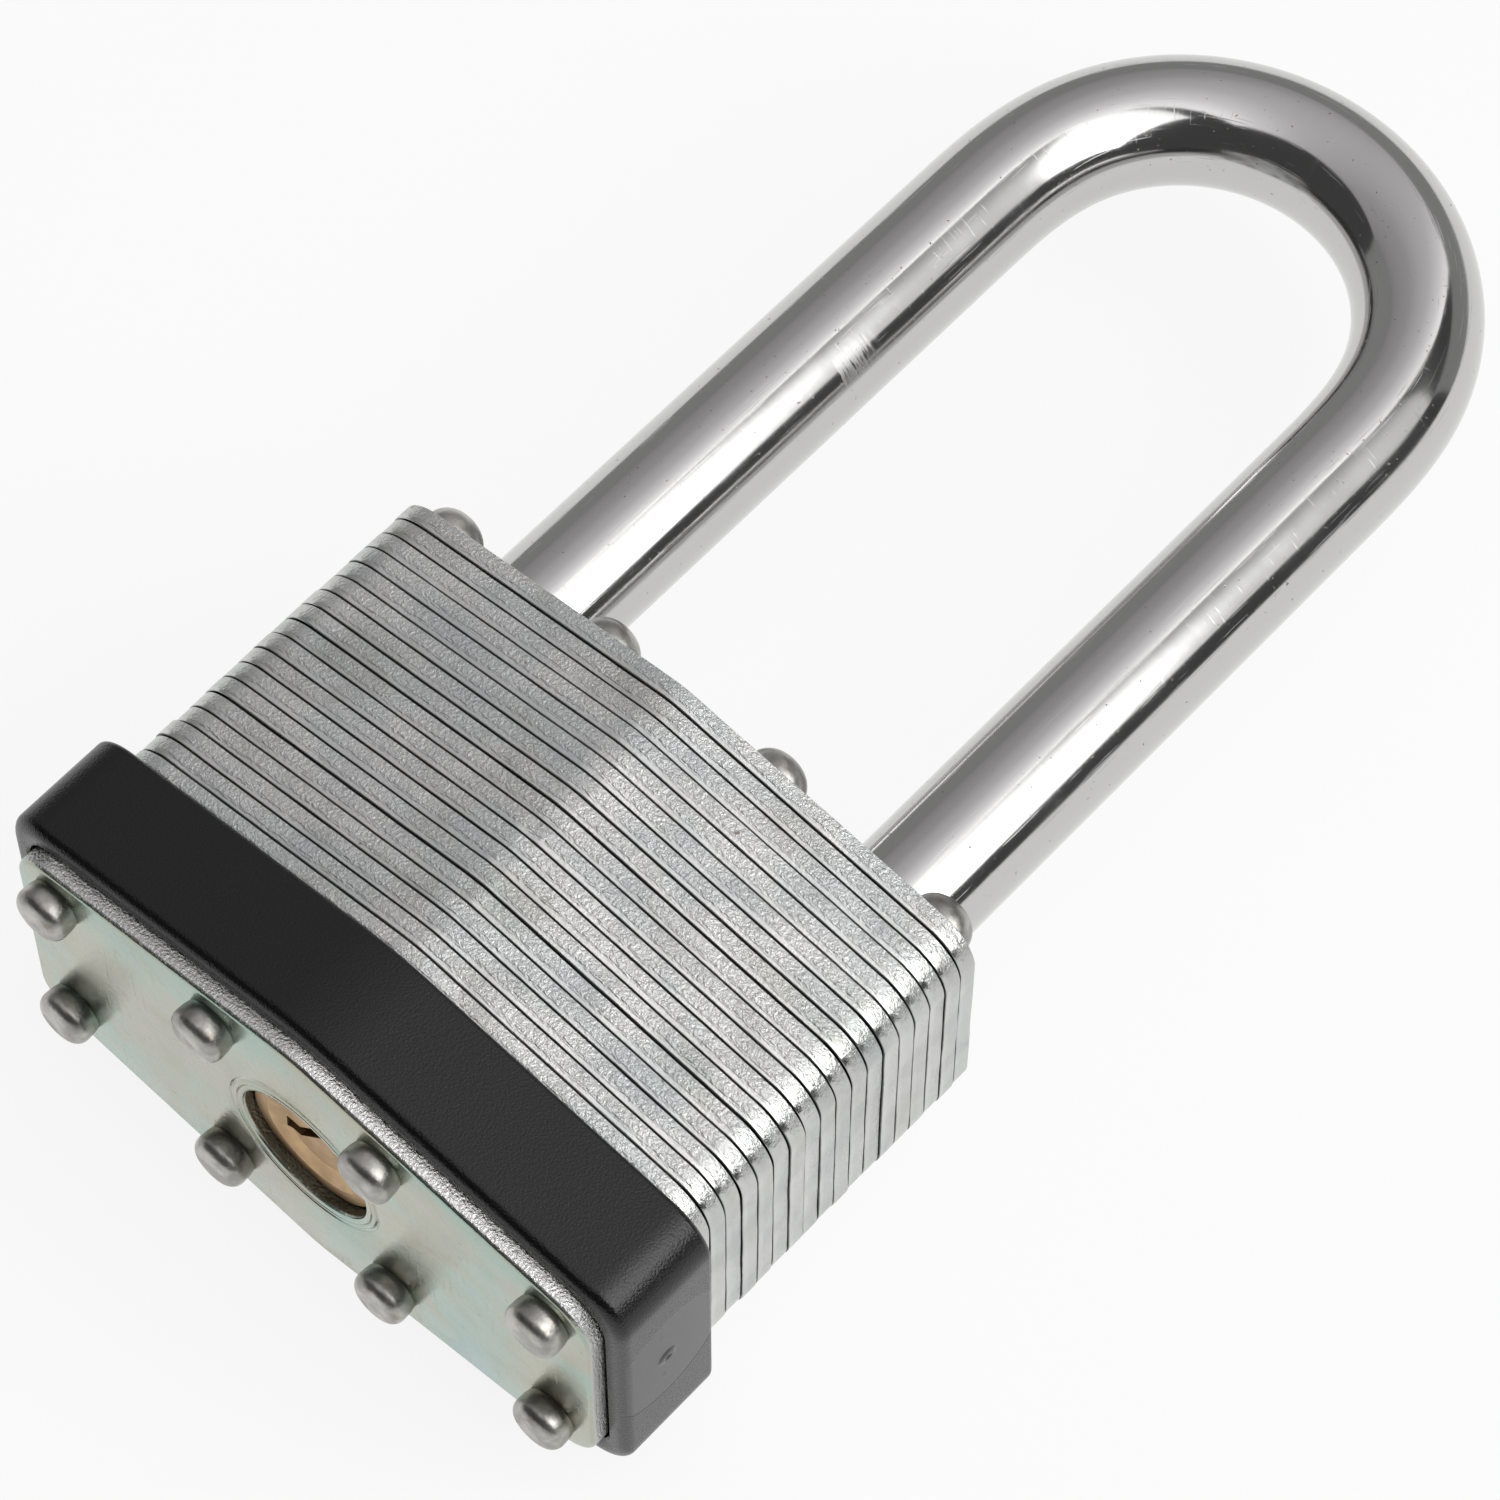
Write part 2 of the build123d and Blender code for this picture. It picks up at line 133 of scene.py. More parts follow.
# The studio, in metres, and how its panel fades, in shares
FLOOR_HALF = 3.0
LEFT, RIGHT, NEAR, FAR, HEIGHT = -1.0, 0.14, -0.35, 1.1, 0.62
PANEL_PLACE, PANEL_SIZE, PANEL_AIM = (0.369, 0.135, 0.457), (0.60, 0.56), (0.0, 0.0, 0.0)
UPPER_FADE, UPPER_LOSS = 0.35, 0.6
FAR_FADE, FAR_DIM, FAR_LOSS, FAR_SLANT = 0.52, 0.63, 0.8, 0.26
CLIP_START = 0.01

# Width of the camera's sensor, in millimetres
SENSOR_WIDTH = 36.0

# Places read from the frame
BASE_LOW, BASE_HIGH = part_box("base_plate")
TOP_LOW, TOP_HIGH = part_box("top_plate")
BUMPER_LOW, BUMPER_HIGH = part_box("bumper")
RIVETS_LOW, RIVETS_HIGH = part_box("rivets")
ROD_LOW, ROD_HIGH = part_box("shackle")
PAWL_LOW, PAWL_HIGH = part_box("toe_pawl")
CYLINDER_LOW, CYLINDER_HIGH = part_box("cylinder_body")
COVER_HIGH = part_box("pin_cover")[1]
HEEL_PLATE_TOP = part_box("heel_retaining_plate")[1].y
WINDOW_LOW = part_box("body_plate_13")[0].y
WINDOW_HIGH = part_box("body_plate_15")[1].y

FACE_Y = BASE_LOW.y
MIDDLE_Z = (BASE_LOW.z + BASE_HIGH.z) / 2
HALF_WIDTH = BASE_HIGH.x
HALF_RIDGE = (BASE_HIGH.z - BASE_LOW.z) / 2
BASE_THICKNESS = BASE_HIGH.y - BASE_LOW.y
PLATE_THICKNESS = TOP_HIGH.y - TOP_LOW.y
BODY_TOP = TOP_HIGH.y - FACE_Y
BUMPER_PROUD = BUMPER_HIGH.x - HALF_WIDTH
BUMPER_BOTTOM = BUMPER_LOW.y - FACE_Y
BUMPER_TOP = BUMPER_HIGH.y - FACE_Y
BASE_HEAD_HEIGHT = FACE_Y - RIVETS_LOW.y
TOP_HEAD_HEIGHT = RIVETS_HIGH.y - TOP_HIGH.y
ROD_RADIUS = (ROD_HIGH.z - ROD_LOW.z) / 2
LEG_U = ROD_HIGH.x - ROD_RADIUS
BOW_H = ROD_HIGH.y - LEG_U - ROD_RADIUS - FACE_Y
HEEL_END = ROD_LOW.y - FACE_Y
STROKE = next(joint["range_m"][1] for joint in frame["joints"] if joint["name"] == "shackle_lift")
PLATES = sorted(
    (n for n in frame["nodes"] if n.startswith("body_plate") or n in ("heel_retaining_plate", "top_plate")),
    key=lambda n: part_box(n)[0].y,
)
PLATE_COUNT = len(PLATES)


def setting(name, description, default, scale=1.0, **kind):
    """A number that a user may change, with its unit or subtype."""
    return FloatProperty(name=name, description=description, default=default * scale, **kind)


def colour(name, description, default):
    """A colour that a user may change."""
    return FloatVectorProperty(name=name, description=description, default=default, subtype="COLOR", size=3)


# Sizes and lenses are given in millimetres, angles in degrees
length = partial(setting, scale=MM, unit="LENGTH", precision=5)
angle = partial(setting, scale=radians(1), subtype="ANGLE")
lens = partial(setting, unit="CAMERA")
share = partial(setting, subtype="FACTOR", min=0.0, max=1.0)
strength = partial(setting, min=0.0)


class PadlockSizes(bpy.types.PropertyGroup):
    """Sizes of the lock's finer forms."""

    end_thickness: length("End thickness", "Thickness of the plates at their ends", 20.2)
    corner_radius: length("Corner radius", "Rounding of the plates' corners", 3.4)
    ridge_radius: length("Ridge radius", "Rounding of the ridge between two facets", 9.0)
    band_ridge_radius: length("Band ridge radius", "Rounding of the same ridge on the bumper", 24.0)
    edge_roll: length("Edge roll", "Rounding that the punch leaves on a plate's lower edge", 0.11)
    joint_gap: length("Joint gap", "Gap that stays open between two plates at their edges", 0.085)
    stack_play: length("Stack play", "How far the plates lie out of line", 0.07)
    edge_wave: length("Edge wave", "Waviness of a sheared edge", 0.035)
    rivet_outer_u: length("Outer rivets across", "Distance of the outer rivets from the middle", 21.43)
    rivet_outer_v: length("Outer rivets up", "Distance of the outer rivets from the middle plane", 7.30)
    rivet_inner_u: length("Inner rivets across", "Distance of the inner rivets from the middle", 7.27)
    rivet_inner_v: length("Inner rivets up", "Distance of the inner rivets from the middle plane", 9.17)
    shank_radius: length("Shank radius", "Radius of a rivet's shank", 1.45)
    base_head_radius: length("Base head radius", "Radius of a rivet head on the base plate", 2.1)
    top_head_radius: length("Top head radius", "Radius of a rivet head on the top plate", 2.3)
    key_opening: length("Key opening", "Radius of the round opening in the base plate", 5.45)
    coined_ring: length("Coined ring", "Radius of the ring pressed round the key opening", 6.5)
    lip_radius: length("Lip radius", "Rounding of the bumper's lower lip", 0.9)
    bumper_bevel: length("Bumper bevel", "Bevel of the bumper's upper edge", 0.45)
    spring_wire: length("Spring wire", "Wire of the shackle's spring", 0.55)
    pin_spring_wire: length("Pin spring wire", "Wire of the pins' springs", 0.3)
    spring_turns: IntProperty(name="Spring turns", description="Turns of each spring", default=3)
    bow_ease: share("Bow ease", "Share of the bow over which its bend sets in at each end", 0.18)
    rod_sides: IntProperty(name="Rod sides", description="Faces round the shackle", default=96)


class PadlockFinishes(bpy.types.PropertyGroup):
    """Colours and gloss of the lock's finishes."""

    zinc: colour("Zinc", "Sheared plate edges", (0.86, 0.86, 0.84))
    zinc_dull: colour("Dull zinc", "Duller patches of the plate edges", (0.58, 0.585, 0.585))
    # This dark colour is dirt and painted shade in the joints between plates, and painted shade on the ends
    # of the plates and of the base plate's edge
    grime_and_shade: colour("Grime", "Dirt in the joints between plates", (0.045, 0.047, 0.045))
    rust: colour("Rust", "Specks on the plate edges", (0.19, 0.11, 0.07))
    passivated: colour("Passivated zinc", "Main colour of the base plate", (0.44, 0.45, 0.37))
    passivated_mint: colour("Mint tint", "Green tint of the base plate", (0.37, 0.50, 0.435))
    passivated_straw: colour("Straw tint", "Yellow tint of the base plate", (0.47, 0.465, 0.355))
    passivated_blue: colour("Blue tint", "Blue tint of the base plate", (0.335, 0.48, 0.49))
    passivated_pink: colour("Pink tint", "Pink tint of the base plate", (0.47, 0.44, 0.425))
    # This colour is painted shade on the key opening's wall, and the colour of stains on the base plate
    opening_shade_and_stain: colour("Opening wall", "Wall of the key opening", (0.17, 0.15, 0.105))
    rivet_steel: colour("Rivet steel", "Tumbled rivet heads", (0.53, 0.52, 0.485))
    chrome: colour("Chrome", "Shackle", (0.565, 0.56, 0.555))
    moulding: colour("Moulding", "Black bumper", (0.0036, 0.0036, 0.0043))
    brass: colour("Brass", "Plug and cylinder", (0.57, 0.39, 0.215))
    inner_steel: colour("Inner steel", "Plain steel inside", (0.50, 0.50, 0.50))


class PadlockStudio(bpy.types.PropertyGroup):
    """Camera and light."""

    azimuth: angle("Azimuth", "Camera's turn about the lock", 41.967)
    elevation: angle("Elevation", "Camera's height angle", 60.643)
    roll: angle("Roll", "Camera's turn about its own axis", 0.243)
    focal: lens("Focal length", "Lens on a sensor 36 mm wide", 140.03)
    distance: length("Distance", "From the camera to the point it looks at", 386.4)
    target_u: length("Target across", "Point looked at, across the width", 1.136)
    target_h: length("Target along", "Point looked at, from the base face", 41.10)
    key_strength: strength("Key light", "Radiance of the large panel on the right", 4.0)
    ceiling_strength: strength("Ceiling", "Radiance of the ceiling by the panel, fading to the left", 1.55)
    wall_strength: strength("Wall", "Radiance of the wall on the left", 0.28)
    world_level: strength("Room light", "Brightness of the room elsewhere", 0.07)
    floor_level: share("Floor", "Grey level of the floor", 0.94)
    floor_lift: share("Floor lift", "Share of plain white that the seen and mirrored floor gets", 0.88)


# Surfaces

def placed(u, v, h):
    """Points from plan coordinates to the part's frame: u is X, h runs along Y and v along Z."""
    u, v, h = np.broadcast_arrays(u, v, h)
    return np.stack([u, FACE_Y + h, MIDDLE_Z + v], axis=-1)


def linked(name, data):
    """A new object in the scene."""
    thing = bpy.data.objects.new(name, data)
    bpy.context.scene.collection.objects.link(thing)
    return thing


def full_turn(count):
    """Even angles all the way round."""
    return np.arange(count) * 2 * pi / count


def rounded(wall, h, width, height, steps, upper=False):
    """Quarter ellipse in a profile, between an upright wall and the flat face under it or over it."""
    turn = np.linspace(0, pi / 2, steps)
    near, level = (np.cos(turn), np.sin(turn)) if upper else (np.sin(turn), np.cos(turn))
    return np.stack([wall - width * (1 - near), h + height * (1 - level)], 1)


class Shell:
    """Vertices and faces of one piece, gathered from several surfaces."""

    def __init__(self):
        self.points, self.faces, self.count = [], [], 0

    def add(self, points, faces):
        """Adds points and faces that count from the first of them."""
        points = np.asarray(points, float).reshape(-1, 3)
        self.points.append(points)
        self.faces += (np.asarray(faces) + self.count).tolist()
        self.count += len(points)
        return self

    def grid(self, points, closed=False):
        """Adds rings of points as quads between neighbours; closed also joins the last ring to the first."""
        rows, columns = points.shape[:2]
        i = np.arange(rows if closed else rows - 1)[:, None]
        j = np.arange(columns)[None, :]
        next_i, next_j = (i + 1) % rows, (j + 1) % columns
        corners = [i * columns + j, i * columns + next_j, next_i * columns + next_j, next_i * columns + j]
        return self.add(points, np.stack(np.broadcast_arrays(*corners), axis=-1).reshape(-1, 4))

    def cap(self, loops, h):
        """Adds a flat face at one height, inside the first loop and outside the others."""
        flat = np.concatenate(loops) / MM
        ends = np.cumsum([len(loop) for loop in loops]).tolist()
        rings = [list(range(end - len(loop), end)) for loop, end in zip(loops, ends)]
        got = delaunay_2d_cdt(flat.tolist(), [], rings, CAP_HOLES, TINY)
        plan = np.array([tuple(p) for p in got[0]]) * MM
        self.add(placed(plan[:, 0], plan[:, 1], h), got[2])

    def piece(self, name, finish, body, nodes, slot=None):
        """Makes the piece: doubles merged, faces outwards, smooth but for sharp edges, riding on its body."""
        mesh = bpy.data.meshes.new(name)
        mesh.from_pydata(np.concatenate(self.points).tolist(), [], self.faces)
        work = bmesh.new()
        work.from_mesh(mesh)
        bmesh.ops.remove_doubles(work, verts=work.verts, dist=TINY)
        bmesh.ops.dissolve_degenerate(work, edges=work.edges, dist=TINY)
        bmesh.ops.recalc_face_normals(work, faces=work.faces)
        work.to_mesh(mesh)
        work.free()
        mesh.shade_smooth()
        mesh.set_sharp_from_angle(angle=SHARP_ANGLE)
        mesh.materials.append(finish)
        thing = linked(name, mesh)
        if body:
            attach(thing, body)
        if nodes:
            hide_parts(*nodes)
        return thing


def circle(u, v, radius, count):
    """Points of a circle in plan."""
    turn = full_turn(count)
    return np.stack([u + radius * np.cos(turn), v + radius * np.sin(turn)], 1)


def body_outline(sizes, grow=0.0, ridge_radius=None):
    """Outline in plan, grown outwards. A quarter is half the straight end, the corner's arc, the straight
    facet and half the ridge's arc, each tangent to the next; mirrored, it makes all four quarters."""
    slope = atan2(HALF_RIDGE - sizes.end_thickness / 2, HALF_WIDTH)
    radius, ridge_radius = sizes.corner_radius, ridge_radius or sizes.ridge_radius
    half = HALF_WIDTH + grow
    peak = HALF_RIDGE + grow / cos(slope)
    turn = pi / 2 - slope
    corner_v = peak - half * tan(slope) - radius * tan(turn / 2)
    a = np.linspace(0, turn, CORNER_STEPS)
    corner = np.stack([half + radius * (np.cos(a) - 1), corner_v + radius * np.sin(a)], 1)
    b = np.linspace(turn, pi / 2, RIDGE_STEPS)
    ridge_v = peak - ridge_radius / cos(slope)
    ridge = np.stack([ridge_radius * np.cos(b), ridge_v + ridge_radius * np.sin(b)], 1)
    end = np.stack(np.broadcast_arrays(half, np.linspace(0, corner_v, END_STEPS)[:-1]), 1)
    facet = corner[-1] + np.linspace(0, 1, FACET_STEPS)[1:-1, None] * (ridge[0] - corner[-1])
    quarter = np.concatenate([end, corner, facet, ridge])
    upper = np.concatenate([quarter, (quarter * [-1, 1])[::-1][1:]])
    return np.concatenate([upper[:-1], -upper[:-1]])


def outward(loop):
    """Unit normals of an anticlockwise loop: the chord between a point's neighbours, turned a quarter."""
    along = np.roll(loop, -1, 0) - np.roll(loop, 1, 0)
    normal = np.stack([along[:, 1], -along[:, 0]], 1)
    return normal / np.linalg.norm(normal, axis=1, keepdims=True)


def waves(rng, count, amplitude, periods):
    """A closed wavy line: a sum of sines of several periods with random phases and falling heights."""
    s = full_turn(count)
    phases = rng.uniform(0, 2 * pi, len(periods))
    heights = rng.uniform(LEAST_WAVE, 1.0, len(periods)) * amplitude / np.sqrt(len(periods))
    return (heights[:, None] * np.sin(np.outer(periods, s) + phases[:, None])).sum(0)


def rolled_rim(low, high, roll, gap=0.0, depth=0.0):
    """Profile of a sheared edge as inset and height: a slit, a quarter ellipse, a wall, a small ellipse."""
    below = rounded(0, low + gap, -roll, ROLL_HEIGHT * roll, EDGE_STEPS)
    above = rounded(0, high, -EDGE_BURR, -EDGE_BURR, EDGE_STEPS, upper=True)
    slit = [(depth, low)] if depth else np.empty((0, 2))
    return np.concatenate([slit, below, above])


def stamped(shell, outline, rim, holes, open_faces=((), ())):
    """A plate: the rim's profile carried round the outline, straight-walled holes and two flat faces.
    open_faces holds further loops that the lower and the upper face leave open."""
    rings = outline[None] - rim[:, 0, None, None] * outward(outline)[None]
    shell.grid(placed(rings[..., 0], rings[..., 1], rim[:, 1, None]))
    for hole in holes:
        shell.grid(placed(hole[None, :, 0], hole[None, :, 1], rim[[0, -1], 1][:, None]))
    for ring, h, further in zip(rings[[0, -1]], rim[[0, -1], 1], open_faces):
        shell.cap([ring, *holes, *further], h)


def lathe(shell, u, v, profile, count):
    """A profile of radius and height turned about an axis along h."""
    turn = full_turn(count)
    radius, h = profile[:, 0, None], profile[:, 1, None]
    shell.grid(placed(u + radius * np.cos(turn), v + radius * np.sin(turn), h))


def rivet_places(sizes):
    """The eight rivet centres in plan."""
    outer, inner = (sizes.rivet_outer_u, sizes.rivet_outer_v), (sizes.rivet_inner_u, sizes.rivet_inner_v)
    return [(su * u, sv * v) for u, v in (outer, inner) for su in (-1, 1) for sv in (-1, 1)]


def rivet_holes(sizes):
    """Round holes that the shanks fill."""
    return [circle(u, v, sizes.shank_radius, SHANK_SIDES) for u, v in rivet_places(sizes)]


def mirrored_loop(right):
    """A loop from its right-hand half, listed anticlockwise from below."""
    right = np.asarray(right, float)
    return np.concatenate([right, (right * [-1, 1])[::-1]])


def cylinder_pocket():
    """The cylinder's square barrel with its narrow pin block towards the front, as one opening."""
    half, back = CYLINDER_HIGH.x, CYLINDER_LOW.z - MIDDLE_Z
    block, front = COVER_HIGH.x, COVER_HIGH.z - MIDDLE_Z
    barrel = [(half - POCKET_CHAMFER, back), (half, back + POCKET_CHAMFER), (half, POCKET_SHOULDER)]
    return mirrored_loop([*barrel, (block, POCKET_SHOULDER), (block, front)])


def pawl_window():
    """Channel from leg to leg: the outer arcs of both leg holes, straight sides and a square for the cam."""
    leg, side = ROD_RADIUS + LEG_CLEARANCE, PAWL_HIGH.z - MIDDLE_Z + PAWL_CLEARANCE
    reach = pi - np.arcsin(side / leg)
    turn = np.linspace(-reach, reach, WINDOW_STEPS)
    arc = np.stack([LEG_U + leg * np.cos(turn), leg * np.sin(turn)], 1)
    below, above = [(CAM_HALF, -CAM_HALF), (CAM_HALF, -side)], [(CAM_HALF, side), (CAM_HALF, CAM_HALF)]
    return mirrored_loop(np.concatenate([below, arc, above]))


def plate_holes(name):
    """What a plate is punched with besides the rivets' holes, by where it lies in the stack."""
    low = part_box(name)[0].y
    leg = [circle(s * LEG_U, 0, ROD_RADIUS + LEG_CLEARANCE, LEG_HOLE_SIDES) for s in (-1, 1)]
    if WINDOW_LOW <= low + TINY < WINDOW_HIGH:
        return [pawl_window()]
    if name == "heel_retaining_plate":
        return [circle(-LEG_U, 0, NECK_RADIUS + NECK_CLEARANCE, LEG_HOLE_SIDES), cylinder_pocket()]
    if low < HEEL_PLATE_TOP - TINY:
        return [leg[0], cylinder_pocket()]
    if low < CYLINDER_HIGH.y - TINY:
        return [*leg, cylinder_pocket()]
    if low < WINDOW_LOW:
        return [*leg, circle(0, 0, TAIL_HOLE, TAIL_HOLE_SIDES)]
    return leg


def plate_outline(sizes, rng):
    """The body's outline for one plate of the stack, a little out of line and with a wavy edge."""
    outline = body_outline(sizes)
    wave = waves(rng, len(outline), sizes.edge_wave, PLATE_WAVES)
    shift = rng.uniform(-sizes.stack_play, sizes.stack_play, 2)
    return outline + outward(outline) * wave[:, None] + shift


# Shader expressions

class Value:
    """A value socket that takes part in Python expressions. Each operation adds one Math node."""

    def __init__(self, finish, socket):
        self.finish, self.socket = finish, socket

    def maths(self, operation, *others):
        """One Math node on this value and others."""
        return self.finish.node("ShaderNodeMath", {"operation": operation}, dict(enumerate([self, *others])))

    def __rsub__(self, other):
        return self * -1 + other

    __add__ = __radd__ = partialmethod(maths, "ADD")
    __sub__ = partialmethod(maths, "SUBTRACT")
    __mul__ = __rmul__ = partialmethod(maths, "MULTIPLY")
    __truediv__ = partialmethod(maths, "DIVIDE")
    __pow__ = partialmethod(maths, "POWER")
    __lt__ = partialmethod(maths, "LESS_THAN")


class Finish:
    """A material whose shader is written as expressions."""

    def __init__(self, name, **constants):
        self.material = bpy.data.materials.new(name)
        self.material.use_nodes = True
        self.tree = self.material.node_tree
        self.shader = self.tree.nodes["Principled BSDF"]
        for socket, value in constants.items():
            self.set(socket.replace("_", " "), value)

    def set(self, socket, value):
        """Sets or links one socket of the shader."""
        self.connect(self.shader.inputs[socket], value)

    def connect(self, socket, value):
        """Links a value, or writes a constant on the socket."""
        if isinstance(value, Value):
            self.tree.links.new(value.socket, socket)
        elif socket.type == "RGBA" and len(value) == 3:
            socket.default_value = (*value, 1.0)
        else:
            socket.default_value = value

    def node(self, kind, settings=None, inputs=None, output=0):
        """Any node: its settings first, a ramp's stops among them, then its sockets. Gives one output."""
        made = self.tree.nodes.new(kind)
        for key, value in (settings or {}).items():
            if key == "stops":
                self.ramp(made.color_ramp, value)
            else:
                setattr(made, key, value)
        for key, value in (inputs or {}).items():
            self.connect(made.inputs[key], value)
        return Value(self, made.outputs[output])

    @staticmethod
    def ramp(ramp, stops):
        """Fills a colour ramp with stops of position and colour."""
        while len(ramp.elements) < len(stops):
            ramp.elements.new(1.0)
        for element, (position, tint) in zip(ramp.elements, stops):
            element.position = position
            element.color = (*tint, 1.0)

    def place(self):
        """Object coordinates."""
        return self.node("ShaderNodeTexCoord", output="Object")

    def axes(self, where=None):
        """Object coordinates, or another vector, as three values."""
        split = self.node("ShaderNodeSeparateXYZ", None, {0: where or self.place()})
        return [Value(self, split.socket.node.outputs[i]) for i in range(3)]

    def noise(self, size, detail=3.0, stretch=(1, 1, 1), where=None, rough=0.5):
        """Noise whose lumps are about one size across, from 0 to 1, stretched along the axes."""
        scale = [1 / (size * s) for s in stretch]
        vector = self.node("ShaderNodeMapping", None, {"Vector": where or self.place(), "Scale": scale})
        sockets = {"Vector": vector, "Scale": 1.0, "Detail": detail, "Roughness": rough}
        return self.node("ShaderNodeTexNoise", None, sockets)

    def step(self, value, low, high):
        """Smooth step from 0 at one value to 1 at another."""
        sockets = {"Value": value, "From Min": low, "From Max": high}
        return self.node("ShaderNodeMapRange", {"interpolation_type": "SMOOTHSTEP"}, sockets)

    def between(self, value, start, full, fade, end):
        """1 in the middle of a stretch, with a smooth step into it and another out of it."""
        return self.step(value, start, full) * (1 - self.step(value, fade, end))

    def mix(self, factor, one, other):
        """Colour between two colours."""
        sockets = {"Factor": factor, 6: one, 7: other}
        return self.node("ShaderNodeMix", {"data_type": "RGBA"}, sockets, output=2)

    def spots(self, low, high, *lumps, **form):
        """Patches of noise: 0 where it lies under one value, 1 where it lies over another."""
        return self.step(self.noise(*lumps, **form), low, high)

    def on_ends(self, across):
        """1 on the ends of the plates and 0 on their facets."""
        return self.step(across.maths("ABSOLUTE"), HALF_WIDTH - END_FROM, HALF_WIDTH - END_TO)

    def done(self, colour, roughness, normal):
        """The material, once its three main inputs are set."""
        self.set("Base Color", colour)
        self.set("Roughness", roughness)
        self.set("Normal", normal)
        return self.material

    def bump(self, height, distance, strength):
        """Normal of a height field."""
        sockets = {"Height": height, "Distance": distance, "Strength": strength}
        return self.node("ShaderNodeBump", None, sockets)


class Glow(Finish):
    """The shader of a lamp, written in the same way."""

    def __init__(self, lamp):
        lamp.use_nodes = True
        self.tree = lamp.node_tree
        self.shader = self.tree.nodes["Emission"]


def sheared_zinc(colours, name="sheared_zinc"):
    """Grainy zinc-plated plate edge: a smooth burnished band below, torn grain above,
    patchy gloss, faint tints, dirt and painted shade along the joints, painted shade on the ends and rust
    specks."""
    f = Finish(name)
    across, along = f.axes()[:2]
    # On the plates' ends the gloss is smoother from rubbing, and the colour is darker and duller there:
    # painted shade on that side
    rubbed_and_shaded_ends = f.on_ends(across)
    patches = f.spots(0.38, 0.68, 4 * MM, 3)
    lumps = f.noise(0.6 * MM, 2, (1.8, 0.7, 1.8))
    grain = f.noise(0.25 * MM, 3, (1.1, 0.9, 1.1), rough=0.62)
    tint = f.spots(0.45, 0.66, 8 * MM, 2, (1, 0.5, 1))
    straw = f.spots(0.50, 0.70, 6 * MM, 2, (1, 0.5, 1))
    in_plate = ((along - TOP_LOW.y) / PLATE_THICKNESS + PLATE_COUNT).maths("FRACT")
    below_top = along < TOP_HIGH.y - 0.05 * MM
    ragged = f.noise(0.6 * MM, 3, (1, 0.2, 1))
    tear = ragged * 0.2 + f.noise(9 * MM, 2, (1, 0.08, 1)) * 0.2
    burnished = (1 - f.step(in_plate, tear, tear + 0.28)) * below_top
    torn = (1 - burnished * 0.8) * (1 - rubbed_and_shaded_ends * 0.5)
    dull = patches * 0.35 + grain * torn * 0.4 + rubbed_and_shaded_ends * 0.5
    base = f.mix(dull, colours.zinc, colours.zinc_dull)
    base = f.mix(tint * 0.20 + rubbed_and_shaded_ends * 0.04, base, colours.passivated_blue)
    base = f.mix(straw * 0.26 + rubbed_and_shaded_ends * 0.14, base, colours.passivated_straw)
    # A darker band along the lower and the upper edge of each plate, wider on the ends: dirt in the joints
    # and painted shade of the gaps between plates
    edge = ragged * 0.04 + rubbed_and_shaded_ends * 0.05
    lower = 1 - f.step(in_plate, edge, edge + 0.05)
    grime_and_shade = (lower + f.step(in_plate, 0.965, 0.98)) * below_top
    specks = f.spots(0.755, 0.80, 0.7 * MM, 2)
    base = f.mix(grime_and_shade * 0.8 + rubbed_and_shaded_ends * 0.12, base, colours.grime_and_shade)
    f.set("Metallic", 1 - specks * 0.7)
    gloss = 0.25 + patches * 0.08 + grain * torn * 0.16 + specks * 0.2 + grime_and_shade * 0.15 - rubbed_and_shaded_ends * 0.11
    relief = grain * torn * 1.3 + lumps * torn * 0.4
    return f.done(f.mix(specks * 0.8, base, colours.rust), gloss, f.bump(relief, 0.14 * MM, 0.85))


def passivated_zinc(colours, key_opening):
    """Pressed zinc sheet: a clear rainbow passivation, a grainy sheared edge and a darker opening. The
    darkening of the edge's ends and of the opening's wall is painted shade.
    """
    f = Finish("passivated_zinc", Metallic=1.0)
    across, along, up = f.axes()
    face = 1 - f.step(along, FACE_Y + 0.10 * MM, FACE_Y + 0.30 * MM)
    cloud = f.noise(9 * MM, 3, (1, 1, 0.8))
    warm = f.spots(0.46, 0.72, 7 * MM, 3)
    tinted = f.mix(f.step(cloud, 0.44, 0.60) * 0.9, colours.passivated, colours.passivated_mint)
    tinted = f.mix(f.step(cloud, 0.58, 0.72) * 0.8, tinted, colours.passivated_blue)
    tinted = f.mix(warm * 0.7, tinted, colours.passivated_straw)
    tinted = f.mix((1 - f.step(cloud, 0.28, 0.42)) * 0.5, tinted, colours.passivated_pink)
    grain = f.noise(0.20 * MM, 2)
    fine = f.noise(0.5 * MM, 4)
    mottle = f.noise(0.16 * MM, 3, rough=0.6)
    stains = f.spots(0.60, 0.78, 1.1 * MM, 4, rough=0.65)
    wipes = f.spots(0.62, 0.72, 0.35 * MM, 3, (1, 1, 14))
    smear = f.spots(0.4, 0.75, 3.5 * MM, 3)
    off_v = up - MIDDLE_Z
    reach = (across * across + off_v * off_v) ** 0.5
    # The key opening's wall is painted dark: painted shade in the recess
    wall = (1 - face) * (reach < key_opening + 0.1 * MM)
    stained = f.mix(stains * 0.35 + mottle * 0.22, tinted, colours.opening_shade_and_stain)
    # The sheared edge is darker on the plate's ends: painted shade on that side
    sheared = f.mix(f.on_ends(across) * 0.42, colours.zinc, colours.grime_and_shade)
    plated = f.mix(face, sheared, stained)
    gloss = 0.17 + smear * 0.09 + (1 - face) * 0.16 + fine * 0.06 + wipes * 0.05
    relief = (fine * 0.16 + mottle * 0.10 + wipes * 0.06) * face + grain * 0.95 * (1 - face)
    return f.done(f.mix(wall, plated, colours.opening_shade_and_stain), gloss, f.bump(relief, 0.14 * MM, 0.8))


